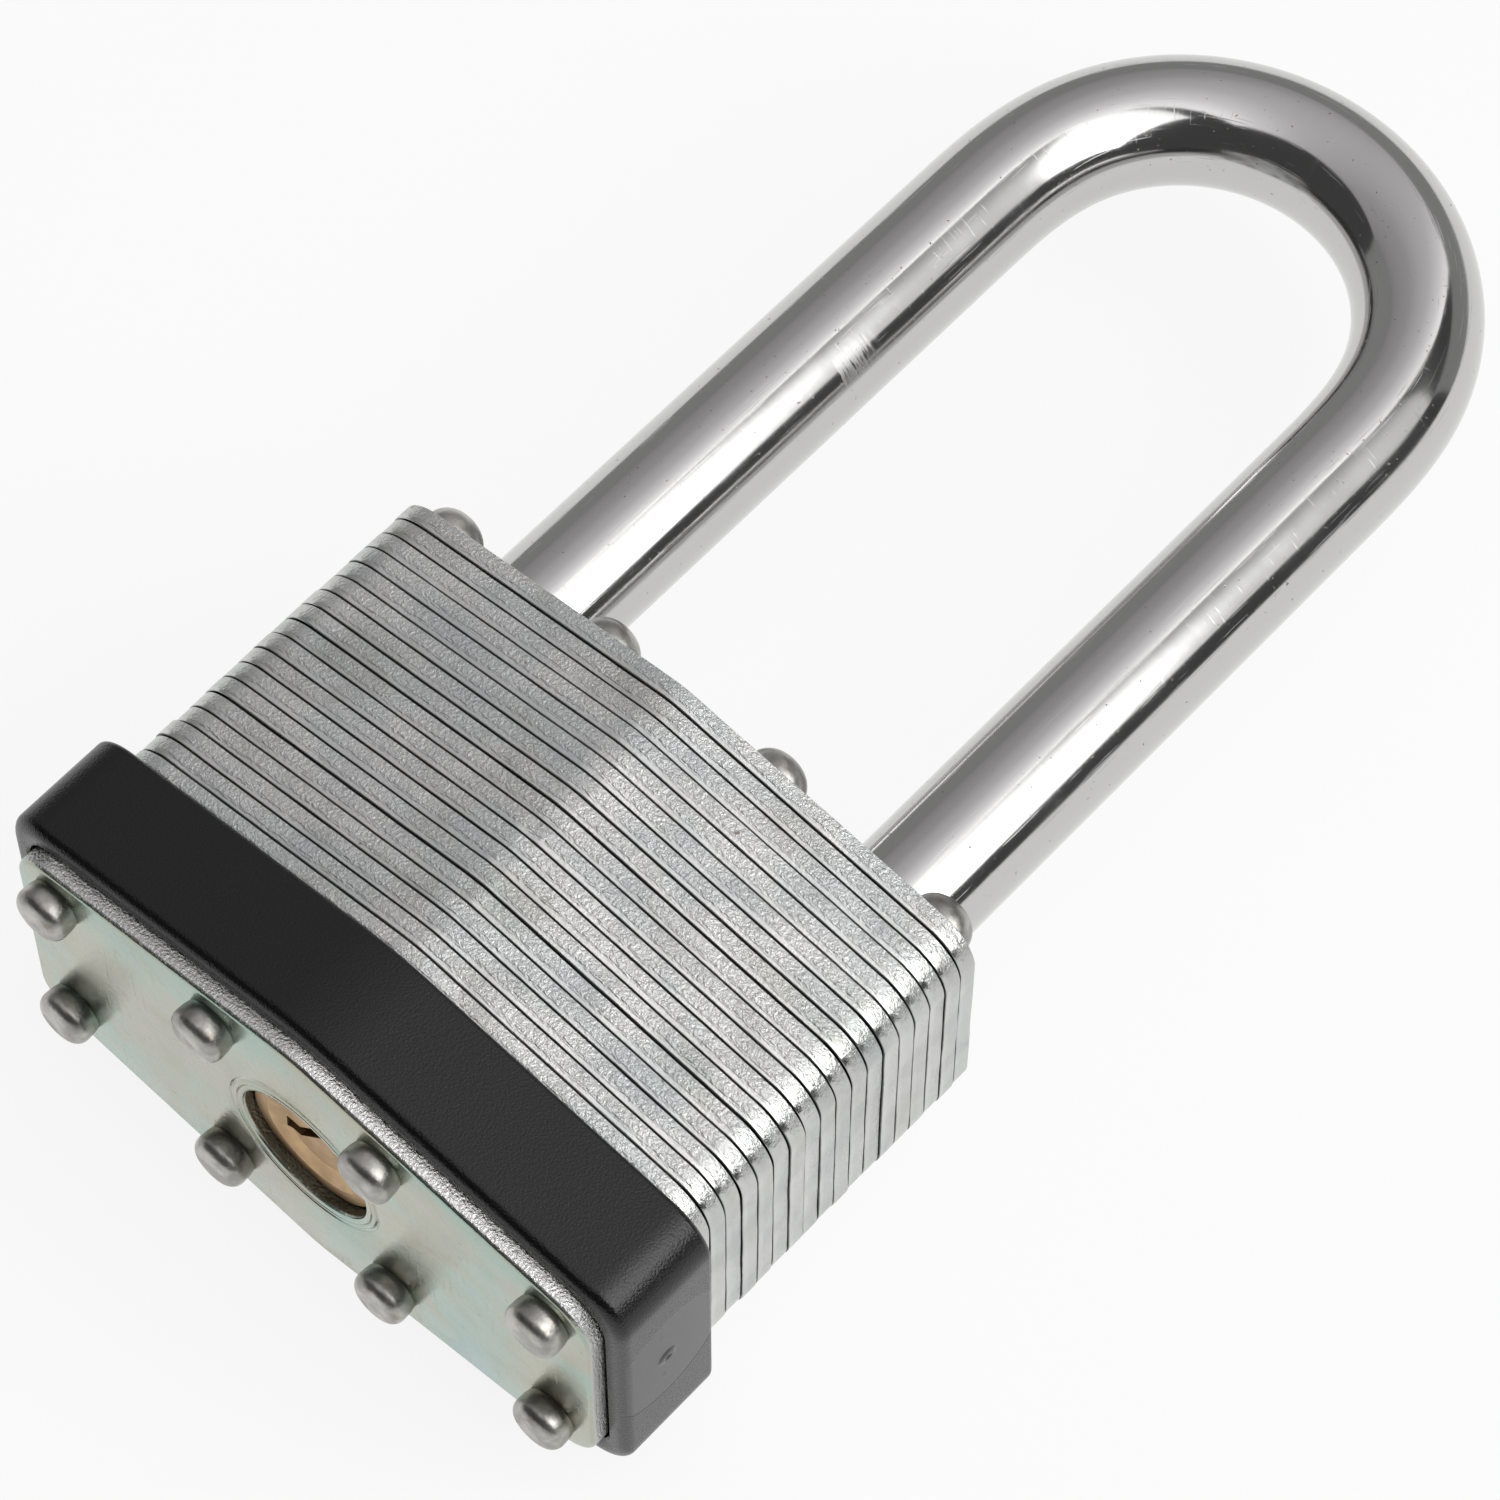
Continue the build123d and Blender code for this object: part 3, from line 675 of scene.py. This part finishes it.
def tumbled_steel(colours):
    """Rivet steel, tumbled: small dents, dark smears, brown stains and brighter rubbed spots."""
    f = Finish("tumbled_steel", Metallic=1.0)
    dents = f.noise(0.9 * MM, 2)
    grain = f.noise(0.16 * MM, 3, (1, 1.6, 1))
    smear = f.spots(0.38, 0.66, 1.6 * MM, 3)
    brown = f.spots(0.56, 0.74, 1.2 * MM, 3, (1, 0.7, 1))
    dark = tuple(c * 0.62 for c in colours.rivet_steel)
    steel = f.mix(smear, dark, colours.rivet_steel)
    relief = f.bump(dents * 0.7 + grain * 0.18, 0.10 * MM, 0.6)
    return f.done(f.mix(brown * 0.35, steel, colours.rust), 0.30 + grain * 0.12, relief)


def black_moulding(colours):
    """Satin black moulding with a fine texture, faint scuffs and a smoother disc round the moulding mark
    whose lighter colour is a painted sheen.
    """
    f = Finish("black_moulding", Specular_IOR_Level=0.46)
    across, along, up = f.axes()
    texture = f.noise(0.16 * MM, 2)
    scuffs = f.spots(0.62, 0.80, 2.2 * MM, 4, (1, 0.35, 1))
    off_h = along - (FACE_Y + GATE_H)
    off_v = up - (MIDDLE_Z + GATE_V)
    reach = (off_h * off_h + off_v * off_v) ** 0.5
    on_end = f.step(across, HALF_WIDTH + BUMPER_PROUD - 0.2 * MM, HALF_WIDTH + BUMPER_PROUD - 0.05 * MM)
    disc = (1 - f.step(reach, GATE_DISC - 0.12 * MM, GATE_DISC)) * on_end
    # Lighter colour for the scuffs, which are wear, and for the disc, where it is a painted sheen
    scuff_and_sheen_grey = tuple(c * 5 for c in colours.moulding)
    base = f.mix(scuffs * 0.1 + disc * 0.75, colours.moulding, scuff_and_sheen_grey)
    relief = f.bump(texture * (1 - disc * 0.6) - disc * 0.4, 0.06 * MM, 0.6)
    return f.done(base, 0.22 + texture * 0.10 + scuffs * 0.08 - disc * 0.03, relief)


def polished_chrome(colours):
    """Chrome plate: a mirror with hair scratches along and across the rod, dark pits, and one scuffed place
    on the heel's leg, bounded by girth and by distance along the rod."""
    f = Finish("polished_chrome", Metallic=1.0)
    rod = f.node("ShaderNodeUVMap", {"uv_map": "rod"})
    hair = f.spots(0.62, 0.72, 0.14 * MM, 2, (1, 45, 1), rod)
    cross = f.spots(0.66, 0.75, 0.12 * MM, 2, (22, 1.6, 1), rod)
    pits = f.spots(0.70, 0.745, 0.32 * MM, 3)
    haze = f.spots(0.38, 0.75, 5 * MM, 3)
    ripple = f.noise(2.4 * MM, 2)
    girth, along = f.axes(rod)[:2]
    ragged = f.noise(0.3 * MM, 2, (6, 1, 1), rod) * 0.9 * MM
    along = along + ragged
    lengthwise, girthwise = f.between(along, *SCUFF_ALONG), f.between(girth, *SCUFF_ROUND)
    streaks = f.spots(0.30, 0.62, 0.22 * MM, 3, (14, 1, 1), rod, 0.6)
    scuff = lengthwise * streaks * girthwise
    gloss = 0.105 + haze * 0.05 + hair * 0.07 + cross * 0.06 + pits * 0.2 + scuff * 0.27
    relief = ripple * 0.7 - hair * 0.35 - cross * (0.3 + scuff) - pits
    return f.done(f.mix(pits * 0.8, colours.chrome, colours.rust), gloss, f.bump(relief, 0.012 * MM, 0.6))


def turned_metal(name, tint, gloss, ring=0.12 * MM):
    """Turned or cast metal inside the lock: faint tool lines and a patchy tarnish."""
    f = Finish(name, Metallic=1.0)
    lines = f.noise(ring, 2, (1, 6, 1))
    tarnish = f.spots(0.35, 0.7, 1.8 * MM, 3)
    base = f.mix(tarnish * 0.5, tint, [c * 0.62 for c in tint])
    return f.done(base, gloss + tarnish * 0.10 + lines * 0.08, f.bump(lines, 0.02 * MM, 0.4))


# Operators

class PadlockOperator:
    """What the lock's operators share: the scene's sizes and finishes."""

    bl_options = {"REGISTER", "UNDO"}

    @property
    def sizes(self):
        return bpy.context.scene.padlock_sizes

    @property
    def colours(self):
        return bpy.context.scene.padlock_finishes


class PADLOCK_OT_plates(PadlockOperator, bpy.types.Operator):
    """Make the stamped plates of the stack"""

    bl_idname = "padlock.plates"
    bl_label = "Body plates"

    def execute(self, context):
        rng = np.random.default_rng(SEED)
        finish = sheared_zinc(self.colours)
        sizes = self.sizes
        for name in PLATES:
            low, high = (corner.y - FACE_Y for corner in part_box(name))
            roll = sizes.edge_roll * rng.uniform(*ROLL_SPREAD)
            gap = sizes.joint_gap * (GAP_LEAST + GAP_EXTRA * rng.uniform() ** GAP_RARITY)
            rim = rolled_rim(low, high, roll, gap, JOINT_DEPTH)
            shell = Shell()
            stamped(shell, plate_outline(sizes, rng), rim, rivet_holes(sizes) + plate_holes(name))
            shell.piece("lamination_" + name, finish, BODY, [name])
        return {"FINISHED"}


class PADLOCK_OT_base(PadlockOperator, bpy.types.Operator):
    """Make the base plate with the coined ring round its key opening"""

    bl_idname = "padlock.base"
    bl_label = "Base plate"

    def execute(self, context):
        sizes = self.sizes
        rng = np.random.default_rng(SEED + 1)
        outline = body_outline(sizes)
        wave = waves(rng, len(outline), sizes.edge_wave, BASE_WAVES)
        outline = outline + outward(outline) * wave[:, None]
        rim = rolled_rim(0.0, BASE_THICKNESS, BASE_ROLL)
        opening = sizes.key_opening
        ring, edge = COINED_RING * MM + [sizes.coined_ring, 0], OPENING_EDGE * MM + [opening, 0]
        coined = np.concatenate([ring, edge, [(opening, BASE_THICKNESS)]])
        lower, upper = (circle(0, 0, radius, OPENING_SIDES) for radius in coined[[0, -1], 0])
        shell = Shell()
        stamped(shell, outline, rim, rivet_holes(sizes), ([lower], [upper]))
        lathe(shell, 0, 0, coined, OPENING_SIDES)
        shell.piece("dressed_base_plate", passivated_zinc(self.colours, opening), BODY, ["base_plate"])
        return {"FINISHED"}


class PADLOCK_OT_rivets(PadlockOperator, bpy.types.Operator):
    """Make the eight rivets, each a little different"""

    bl_idname = "padlock.rivets"
    bl_label = "Rivets"

    def profile(self, grow):
        """Radius and height of one rivet from end to end: a rounded bullet, the shank and a dome."""
        sizes = self.sizes
        base, top, shank = sizes.base_head_radius * grow, sizes.top_head_radius * grow, sizes.shank_radius
        bullet = rounded(base, -BASE_HEAD_HEIGHT, BULLET_ROUNDING, BULLET_ROUNDING, BULLET_STEPS)
        seat = [(base * part, h) for part, h in RIVET_SEAT]
        neck = [(top * part, BODY_TOP + h) for part, h in RIVET_NECK]
        turn = np.linspace(0, pi / 2, DOME_STEPS)
        dome_h = BODY_TOP + DOME_WALL + (TOP_HEAD_HEIGHT - DOME_WALL) * np.sin(turn)
        dome = np.stack([top * np.cos(turn) ** DOME_FULLNESS, dome_h], 1)
        ends = [(shank, 0.0), (shank, BODY_TOP)]
        return np.concatenate([[(0.0, -BASE_HEAD_HEIGHT)], bullet, seat, ends, neck, dome])

    def execute(self, context):
        rng = np.random.default_rng(SEED + 2)
        shell = Shell()
        for u, v in rivet_places(self.sizes):
            lathe(shell, u, v, self.profile(rng.uniform(*RIVET_SPREAD)), RIVET_SIDES)
        shell.piece("dressed_rivets", tumbled_steel(self.colours), BODY, ["rivets"])
        return {"FINISHED"}


class PADLOCK_OT_bumper(PadlockOperator, bpy.types.Operator):
    """Make the moulded bumper band and its moulding mark"""

    bl_idname = "padlock.bumper"
    bl_label = "Bumper"

    def section(self):
        """Closed section of the band as growth and height: a round lip, the wall, a soft bevel, the rib."""
        sizes = self.sizes
        lip, bevel = sizes.lip_radius, sizes.bumper_bevel
        rolled = rounded(BUMPER_PROUD, BUMPER_BOTTOM, lip, lip, LIP_STEPS)
        upper = rounded(BUMPER_PROUD, BUMPER_TOP, bevel, -bevel, LIP_STEPS, upper=True)
        inner = [(-RIB_DEPTH, BUMPER_TOP), (-RIB_DEPTH, BASE_THICKNESS),
                 (BUMPER_GAP, BASE_THICKNESS), (BUMPER_GAP, BUMPER_BOTTOM + LIP_CHAMFER),
                 (BUMPER_GAP + LIP_CHAMFER, BUMPER_BOTTOM)]
        return np.concatenate([rolled, upper, inner])

    def execute(self, context):
        sizes, section = self.sizes, self.section()
        finish = black_moulding(self.colours)
        outlines = np.stack([body_outline(sizes, grow, sizes.band_ridge_radius) for grow in section[:, 0]])
        band = Shell().grid(placed(outlines[..., 0], outlines[..., 1], section[:, 1, None]), closed=True)
        band.piece("dressed_bumper", finish, BODY, ["bumper"])
        self.moulding_mark(finish)
        return {"FINISHED"}

    def moulding_mark(self, finish):
        """A nub on the bumper's end with a pit in it: a profile of radius and height, turned about X."""
        turn = full_turn(MARK_SIDES)
        radius, lift = (MOULDING_MARK * MM).T[..., None]
        v = GATE_V + radius * np.sin(turn)
        h = GATE_H + radius * np.cos(turn)
        nub = Shell().grid(placed(HALF_WIDTH + BUMPER_PROUD + lift, v, h))
        nub.piece("moulding_mark", finish, BODY, [], "bumper_black")


class PADLOCK_OT_shackle(PadlockOperator, bpy.types.Operator):
    """Make the shackle as one smooth rod"""

    bl_idname = "padlock.shackle"
    bl_label = "Shackle"

    def bow(self):
        """The bow's middle line as distance across, height and direction out. Its bend rises evenly from
        nothing, stays and falls again, so it meets the legs smoothly; running sums give angle and place."""
        along = np.linspace(0, 1, BOW_STEPS)
        bend = np.clip(np.minimum(along, 1 - along) / self.sizes.bow_ease, 0, 1)
        turned = np.concatenate([[0], np.cumsum(bend[1:] + bend[:-1])])
        out = pi * (1 - turned / turned[-1])
        heading = np.stack([np.sin(out), -np.cos(out)], 1)
        line = np.concatenate([[(0, 0)], np.cumsum(heading[1:] + heading[:-1], axis=0)])
        line *= 2 * LEG_U / line[-1, 0]
        return line[:, 0] - LEG_U, line[:, 1] - line[:, 1].max() + BOW_H + LEG_U, out

    def leg(self):
        """Stations from the shoulder up one leg, as height, radius and the depth that the notch leaves."""
        low, high = PAWL_LOW.y - FACE_Y, PAWL_HIGH.y - FACE_Y
        whole, top = 2 * ROD_RADIUS, high + NOTCH_CLEARANCE
        left = ROD_RADIUS - NOTCH_DEPTH
        deep = low - NOTCH_CLEARANCE + NOTCH_BEVEL
        ramp = [(deep - NOTCH_DEPTH, ROD_RADIUS, ROD_RADIUS), (deep, ROD_RADIUS, left)]
        step = [(top, ROD_RADIUS, left), (top, ROD_RADIUS, whole)]
        straight = [(h, ROD_RADIUS, whole) for h in np.linspace(BODY_TOP, self.bow()[1][0], LEG_STEPS)[:-1]]
        return ramp + step + straight

    def stations(self):
        """Stations from the heel's flange over the bow to the toe: place, direction out, radius and depth."""
        whole, flange_top = 2 * ROD_RADIUS, HEEL_END + FLANGE_THICKNESS
        shoulder = HEEL_PLATE_TOP - FACE_Y + SHOULDER_GAP
        toe = BODY_TOP + TOE_SPARE - STROKE
        heel = [(HEEL_END, 0.0), (HEEL_END, FLANGE_RADIUS), (flange_top, FLANGE_RADIUS),
                (flange_top, NECK_RADIUS), (shoulder, NECK_RADIUS),
                (shoulder, ROD_RADIUS - SHOULDER_EDGE), (shoulder + SHOULDER_EDGE, ROD_RADIUS)]
        end = [(toe, 0.0), (toe, ROD_RADIUS - TOE_CHAMFER), (toe + TOE_CHAMFER, ROD_RADIUS)]
        heel, end = (np.array([(*row, whole) for row in rows] + self.leg()) for rows in (heel, end))
        end = end[::-1]
        bow_u, bow_h, turn = self.bow()
        bow = np.tile((ROD_RADIUS, whole), (len(turn), 1))
        u = np.concatenate([np.full(len(heel), -LEG_U), bow_u, np.full(len(end), LEG_U)])
        h = np.concatenate([heel[:, 0], bow_h, end[:, 0]])
        out = np.concatenate([np.full(len(heel), pi), turn, np.zeros(len(end))])
        return u, h, out, np.concatenate([heel[:, 1:], bow, end[:, 1:]])

    def execute(self, context):
        u, h, out, shape = self.stations()
        around = full_turn(self.sizes.rod_sides)
        # The radius at each angle is the station's own, or less where the notch's flat lies nearer inwards
        inner = np.maximum(-np.cos(around), TINY)
        radius = np.minimum(shape[:, :1], shape[:, 1:] / inner)
        reach = radius * np.cos(around)
        points = placed(u[:, None] + reach * np.cos(out)[:, None], radius * np.sin(around),
                        h[:, None] + reach * np.sin(out)[:, None])
        finish = polished_chrome(self.colours)
        rod = Shell().grid(points).piece("dressed_shackle", finish, "shackle", ["shackle"])
        self.unroll(rod.data)
        return {"FINISHED"}

    @staticmethod
    def unroll(mesh):
        """UV map in metres: girth round the rod and distance along it, each from the vertex's own place."""
        points = np.empty(len(mesh.vertices) * 3)
        mesh.vertices.foreach_get("co", points)
        points = points.reshape(-1, 3) - [0, FACE_Y, MIDDLE_Z]
        bow = np.maximum(points[:, 1] - BOW_H, 0)
        turn = np.arctan2(bow, -points[:, 0])
        along = np.minimum(points[:, 1], BOW_H) * np.where(points[:, 0] > 0, -1, 1) + LEG_U * turn
        off = np.where(bow > 0, np.hypot(points[:, 0], bow), np.abs(points[:, 0])) - LEG_U
        girth = np.arctan2(points[:, 2], off) * ROD_RADIUS
        loops = np.empty(len(mesh.loops), dtype=np.int32)
        mesh.loops.foreach_get("vertex_index", loops)
        layer = mesh.uv_layers.new(name="rod")
        layer.data.foreach_set("uv", np.stack([girth, along], 1)[loops].ravel())


class PADLOCK_OT_springs(PadlockOperator, bpy.types.Operator):
    """Make the springs as coils of round wire"""

    bl_idname = "padlock.springs"
    bl_label = "Springs"

    def coil(self, node, wire, axis):
        """Shell of a round wire on a helix that fills a node's box along one axis. Each ring of the wire lies
        across the helix, so it leans by the angle of climb, and the first and last ring are points."""
        low, high = (np.array(corner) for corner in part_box(node))
        turns = self.sizes.spring_turns
        across = [k for k in range(3) if k != axis]
        radius = ((high - low)[across].max() - wire) / 2
        rise = (high - low)[axis] - wire
        climb = atan2(rise, 2 * pi * turns * radius)
        along = np.linspace(0, 1, COIL_STEPS * turns + 1)
        thick = np.concatenate([[0], np.full(len(along), wire / 2), [0]])[:, None]
        along = np.concatenate([[0], along, [1]])[:, None]
        turn = 2 * pi * turns * along
        around = full_turn(WIRE_SIDES)
        out = radius + thick * np.cos(around)
        lean = -thick * np.sin(around) * sin(climb)
        points = np.empty((*out.shape, 3))
        points[..., across[0]] = out * np.cos(turn) - lean * np.sin(turn)
        points[..., across[1]] = out * np.sin(turn) + lean * np.cos(turn)
        points[..., axis] = rise * (along - 0.5) + thick * np.sin(around) * cos(climb)
        return Shell().grid(points + (low + high) / 2)

    def execute(self, context):
        finish = turned_metal("spring_steel", self.colours.inner_steel, 0.30)
        spring = self.coil("shackle_spring", self.sizes.spring_wire, 1)
        spring = spring.piece("coil_shackle_spring", finish, None, ["shackle_spring"])
        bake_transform(spring)
        for joint in frame["joints"]:
            if joint["name"].startswith("driver_pin"):
                node = "pin_spring_" + joint["name"].split("_")[2]
                spring = self.coil(node, self.sizes.pin_spring_wire, 2)
                spring = spring.piece("coil_" + node, finish, BODY, [node])
                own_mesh(spring)
        return {"FINISHED"}


class PADLOCK_OT_inside(PadlockOperator, bpy.types.Operator):
    """Give the plug and the pieces inside the lock their finishes"""

    bl_idname = "padlock.inside"
    bl_label = "Plug and inner pieces"

    def execute(self, context):
        brass = self.colours.brass
        pin = turned_metal("pin_brass", [min(c * 1.1, 1) for c in brass], 0.28)
        plain = turned_metal("plain_steel", self.colours.inner_steel, 0.36)
        finishes = {
            "plug": turned_metal("plug_brass", brass, 0.34),
            "cylinder": turned_metal("cast_brass", [c * 0.9 for c in brass], 0.45, 0.3 * MM),
            "key": pin,
            "driver": pin,
            "inset": sheared_zinc(self.colours, "inset_zinc"),
        }
        for name, node in frame["nodes"].items():
            if not node.hide_render:
                node.data.materials.clear()
                node.data.materials.append(finishes.get(name.split("_")[0], plain))
        return {"FINISHED"}


class PADLOCK_OT_studio(PadlockOperator, bpy.types.Operator):
    """Set up the floor, the light panels and the camera"""

    bl_idname = "padlock.studio"
    bl_label = "Studio"

    def panel(self, radiance):
        """The key panel. It fades towards its upper edge and, along a slant, towards its far end."""
        data = bpy.data.lights.new("key_panel", "AREA")
        data.shape = "RECTANGLE"
        data.size, data.size_y = PANEL_SIZE
        data.energy = radiance * pi * data.size * data.size_y
        glow = Glow(data)
        far, upper = glow.axes(glow.node("ShaderNodeNewGeometry", output="Parametric"))[:2]
        upper_level = 1 - glow.step(upper, UPPER_FADE, 1.0) * UPPER_LOSS
        far_level = 1 - glow.step(far - upper * FAR_SLANT, FAR_FADE, FAR_DIM) * FAR_LOSS
        glow.set("Color", upper_level * far_level)
        lamp = linked("key_panel", data)
        lamp.location = PANEL_PLACE
        lamp.rotation_euler = (Vector(PANEL_AIM) - lamp.location).to_track_quat("-Z", "Y").to_euler()

    def sheet(self, name, corners, finish):
        """A flat sheet of the studio from its four corners."""
        mesh = bpy.data.meshes.new(name)
        mesh.from_pydata(corners, [], [(0, 1, 2, 3)])
        mesh.materials.append(finish.material)
        linked(name, mesh)

    def floor(self, studio):
        """A large pale floor. What is seen of it, straight or mirrored, is lifted towards white."""
        half, level = FLOOR_HALF, studio.floor_level
        f = Finish("pale_floor", Roughness=0.9, Base_Color=(level, level, level), Specular_IOR_Level=0.1)
        seen = sum(f.node("ShaderNodeLightPath", output=kind)
                   for kind in ("Is Camera Ray", "Is Glossy Ray", "Is Transmission Ray"))
        white = f.node("ShaderNodeEmission", None, {"Color": (1.0, 1.0, 1.0)})
        pale = Value(f, f.shader.outputs[0])
        mixed = f.node("ShaderNodeMixShader", None, {0: seen * studio.floor_lift, 1: pale, 2: white})
        f.connect(f.tree.nodes["Material Output"].inputs["Surface"], mixed)
        self.sheet("floor", [(-half, -half, 0), (half, -half, 0), (half, half, 0), (-half, half, 0)], f)

    def ceiling(self, studio):
        """A ceiling, brightest beside the key panel and fading to the left, and two dim walls."""
        f = Finish("ceiling", Base_Color=(0.0, 0.0, 0.0), Emission_Strength=studio.ceiling_strength)
        across = (f.axes()[0] - LEFT) / (RIGHT - LEFT)
        stops = [(0.0, (0.20, 0.195, 0.20)), (0.5, (0.27, 0.263, 0.27)), (0.75, (0.42, 0.41, 0.42)),
                 (0.88, (0.62, 0.605, 0.615)), (1.0, (0.95, 0.94, 0.945))]
        f.set("Emission Color", f.node("ShaderNodeValToRGB", {"stops": stops}, {0: across}))
        corners = [(LEFT, NEAR, HEIGHT), (LEFT, FAR, HEIGHT), (RIGHT, FAR, HEIGHT), (RIGHT, NEAR, HEIGHT)]
        self.sheet("ceiling", corners, f)
        f = Finish("wall", Base_Color=(0.0, 0.0, 0.0), Emission_Color=(1.0, 1.0, 1.0),
                   Emission_Strength=studio.wall_strength)
        sides = {"wall": ((LEFT, NEAR), (LEFT, FAR)), "far_wall": ((LEFT, FAR), (-LEFT, FAR))}
        for name, (start, end) in sides.items():
            self.sheet(name, [(*start, 0.0), (*end, 0.0), (*end, HEIGHT), (*start, HEIGHT)], f)

    def camera(self, studio):
        """The camera from its angles: back points from target to camera, right is level, roll turns both."""
        data = bpy.data.cameras.new("camera")
        data.sensor_fit, data.sensor_width, data.lens = "HORIZONTAL", SENSOR_WIDTH, studio.focal
        data.clip_start = CLIP_START
        az, el = studio.azimuth, studio.elevation
        back = Vector((sin(az) * cos(el), -cos(az) * cos(el), sin(el)))
        right = Vector((cos(az), sin(az), 0.0))
        up = back.cross(right)
        turned = right * cos(studio.roll) + up * sin(studio.roll)
        target = Vector((studio.target_u, FACE_Y + studio.target_h, MIDDLE_Z))
        eye = linked("camera", data)
        turn = Matrix((turned, back.cross(turned), back)).transposed().to_4x4()
        eye.matrix_world = Matrix.Translation(target + back * studio.distance) @ turn
        bpy.context.scene.camera = eye

    def execute(self, context):
        scene = context.scene
        studio = scene.padlock_studio
        self.floor(studio)
        self.ceiling(studio)
        self.panel(studio.key_strength)
        world = bpy.data.worlds.new("room")
        world.use_nodes = True
        background = world.node_tree.nodes["Background"]
        background.inputs["Color"].default_value = (1.0, 1.0, 1.0, 1.0)
        background.inputs["Strength"].default_value = studio.world_level
        scene.world = world
        scene.view_settings.view_transform = "Standard"
        self.camera(studio)
        return {"FINISHED"}


SETTINGS = {
    "padlock_sizes": PadlockSizes,
    "padlock_finishes": PadlockFinishes,
    "padlock_studio": PadlockStudio,
}
OPERATORS = (PADLOCK_OT_plates, PADLOCK_OT_base, PADLOCK_OT_rivets, PADLOCK_OT_bumper, PADLOCK_OT_shackle,
             PADLOCK_OT_springs, PADLOCK_OT_inside, PADLOCK_OT_studio)


class PADLOCK_PT_panel(bpy.types.Panel):
    """Sidebar panel that lists the lock's operators and settings"""

    bl_idname = "PADLOCK_PT_panel"
    bl_label = "Padlock"
    bl_space_type = "VIEW_3D"
    bl_region_type = "UI"
    bl_category = "Padlock"

    def draw(self, context):
        for operator in OPERATORS:
            self.layout.operator(operator.bl_idname)
        for group in SETTINGS:
            box = self.layout.box()
            settings = getattr(context.scene, group)
            for name in settings.__annotations__:
                box.prop(settings, name)


CLASSES = (*SETTINGS.values(), *OPERATORS, PADLOCK_PT_panel)


def register():
    """Registers the classes and hangs the settings on the scene."""
    for cls in CLASSES:
        bpy.utils.register_class(cls)
    for name, group in SETTINGS.items():
        setattr(bpy.types.Scene, name, PointerProperty(type=group))


def unregister():
    """Takes the settings and the classes away again."""
    for name in SETTINGS:
        delattr(bpy.types.Scene, name)
    for cls in reversed(CLASSES):
        bpy.utils.unregister_class(cls)


def main():
    """Builds the dressed lock and its studio."""
    register()
    bpy.ops.padlock.plates()
    bpy.ops.padlock.base()
    bpy.ops.padlock.rivets()
    bpy.ops.padlock.bumper()
    bpy.ops.padlock.shackle()
    bpy.ops.padlock.springs()
    bpy.ops.padlock.inside()
    bpy.ops.padlock.studio()


if __name__ == "__main__":
    main()
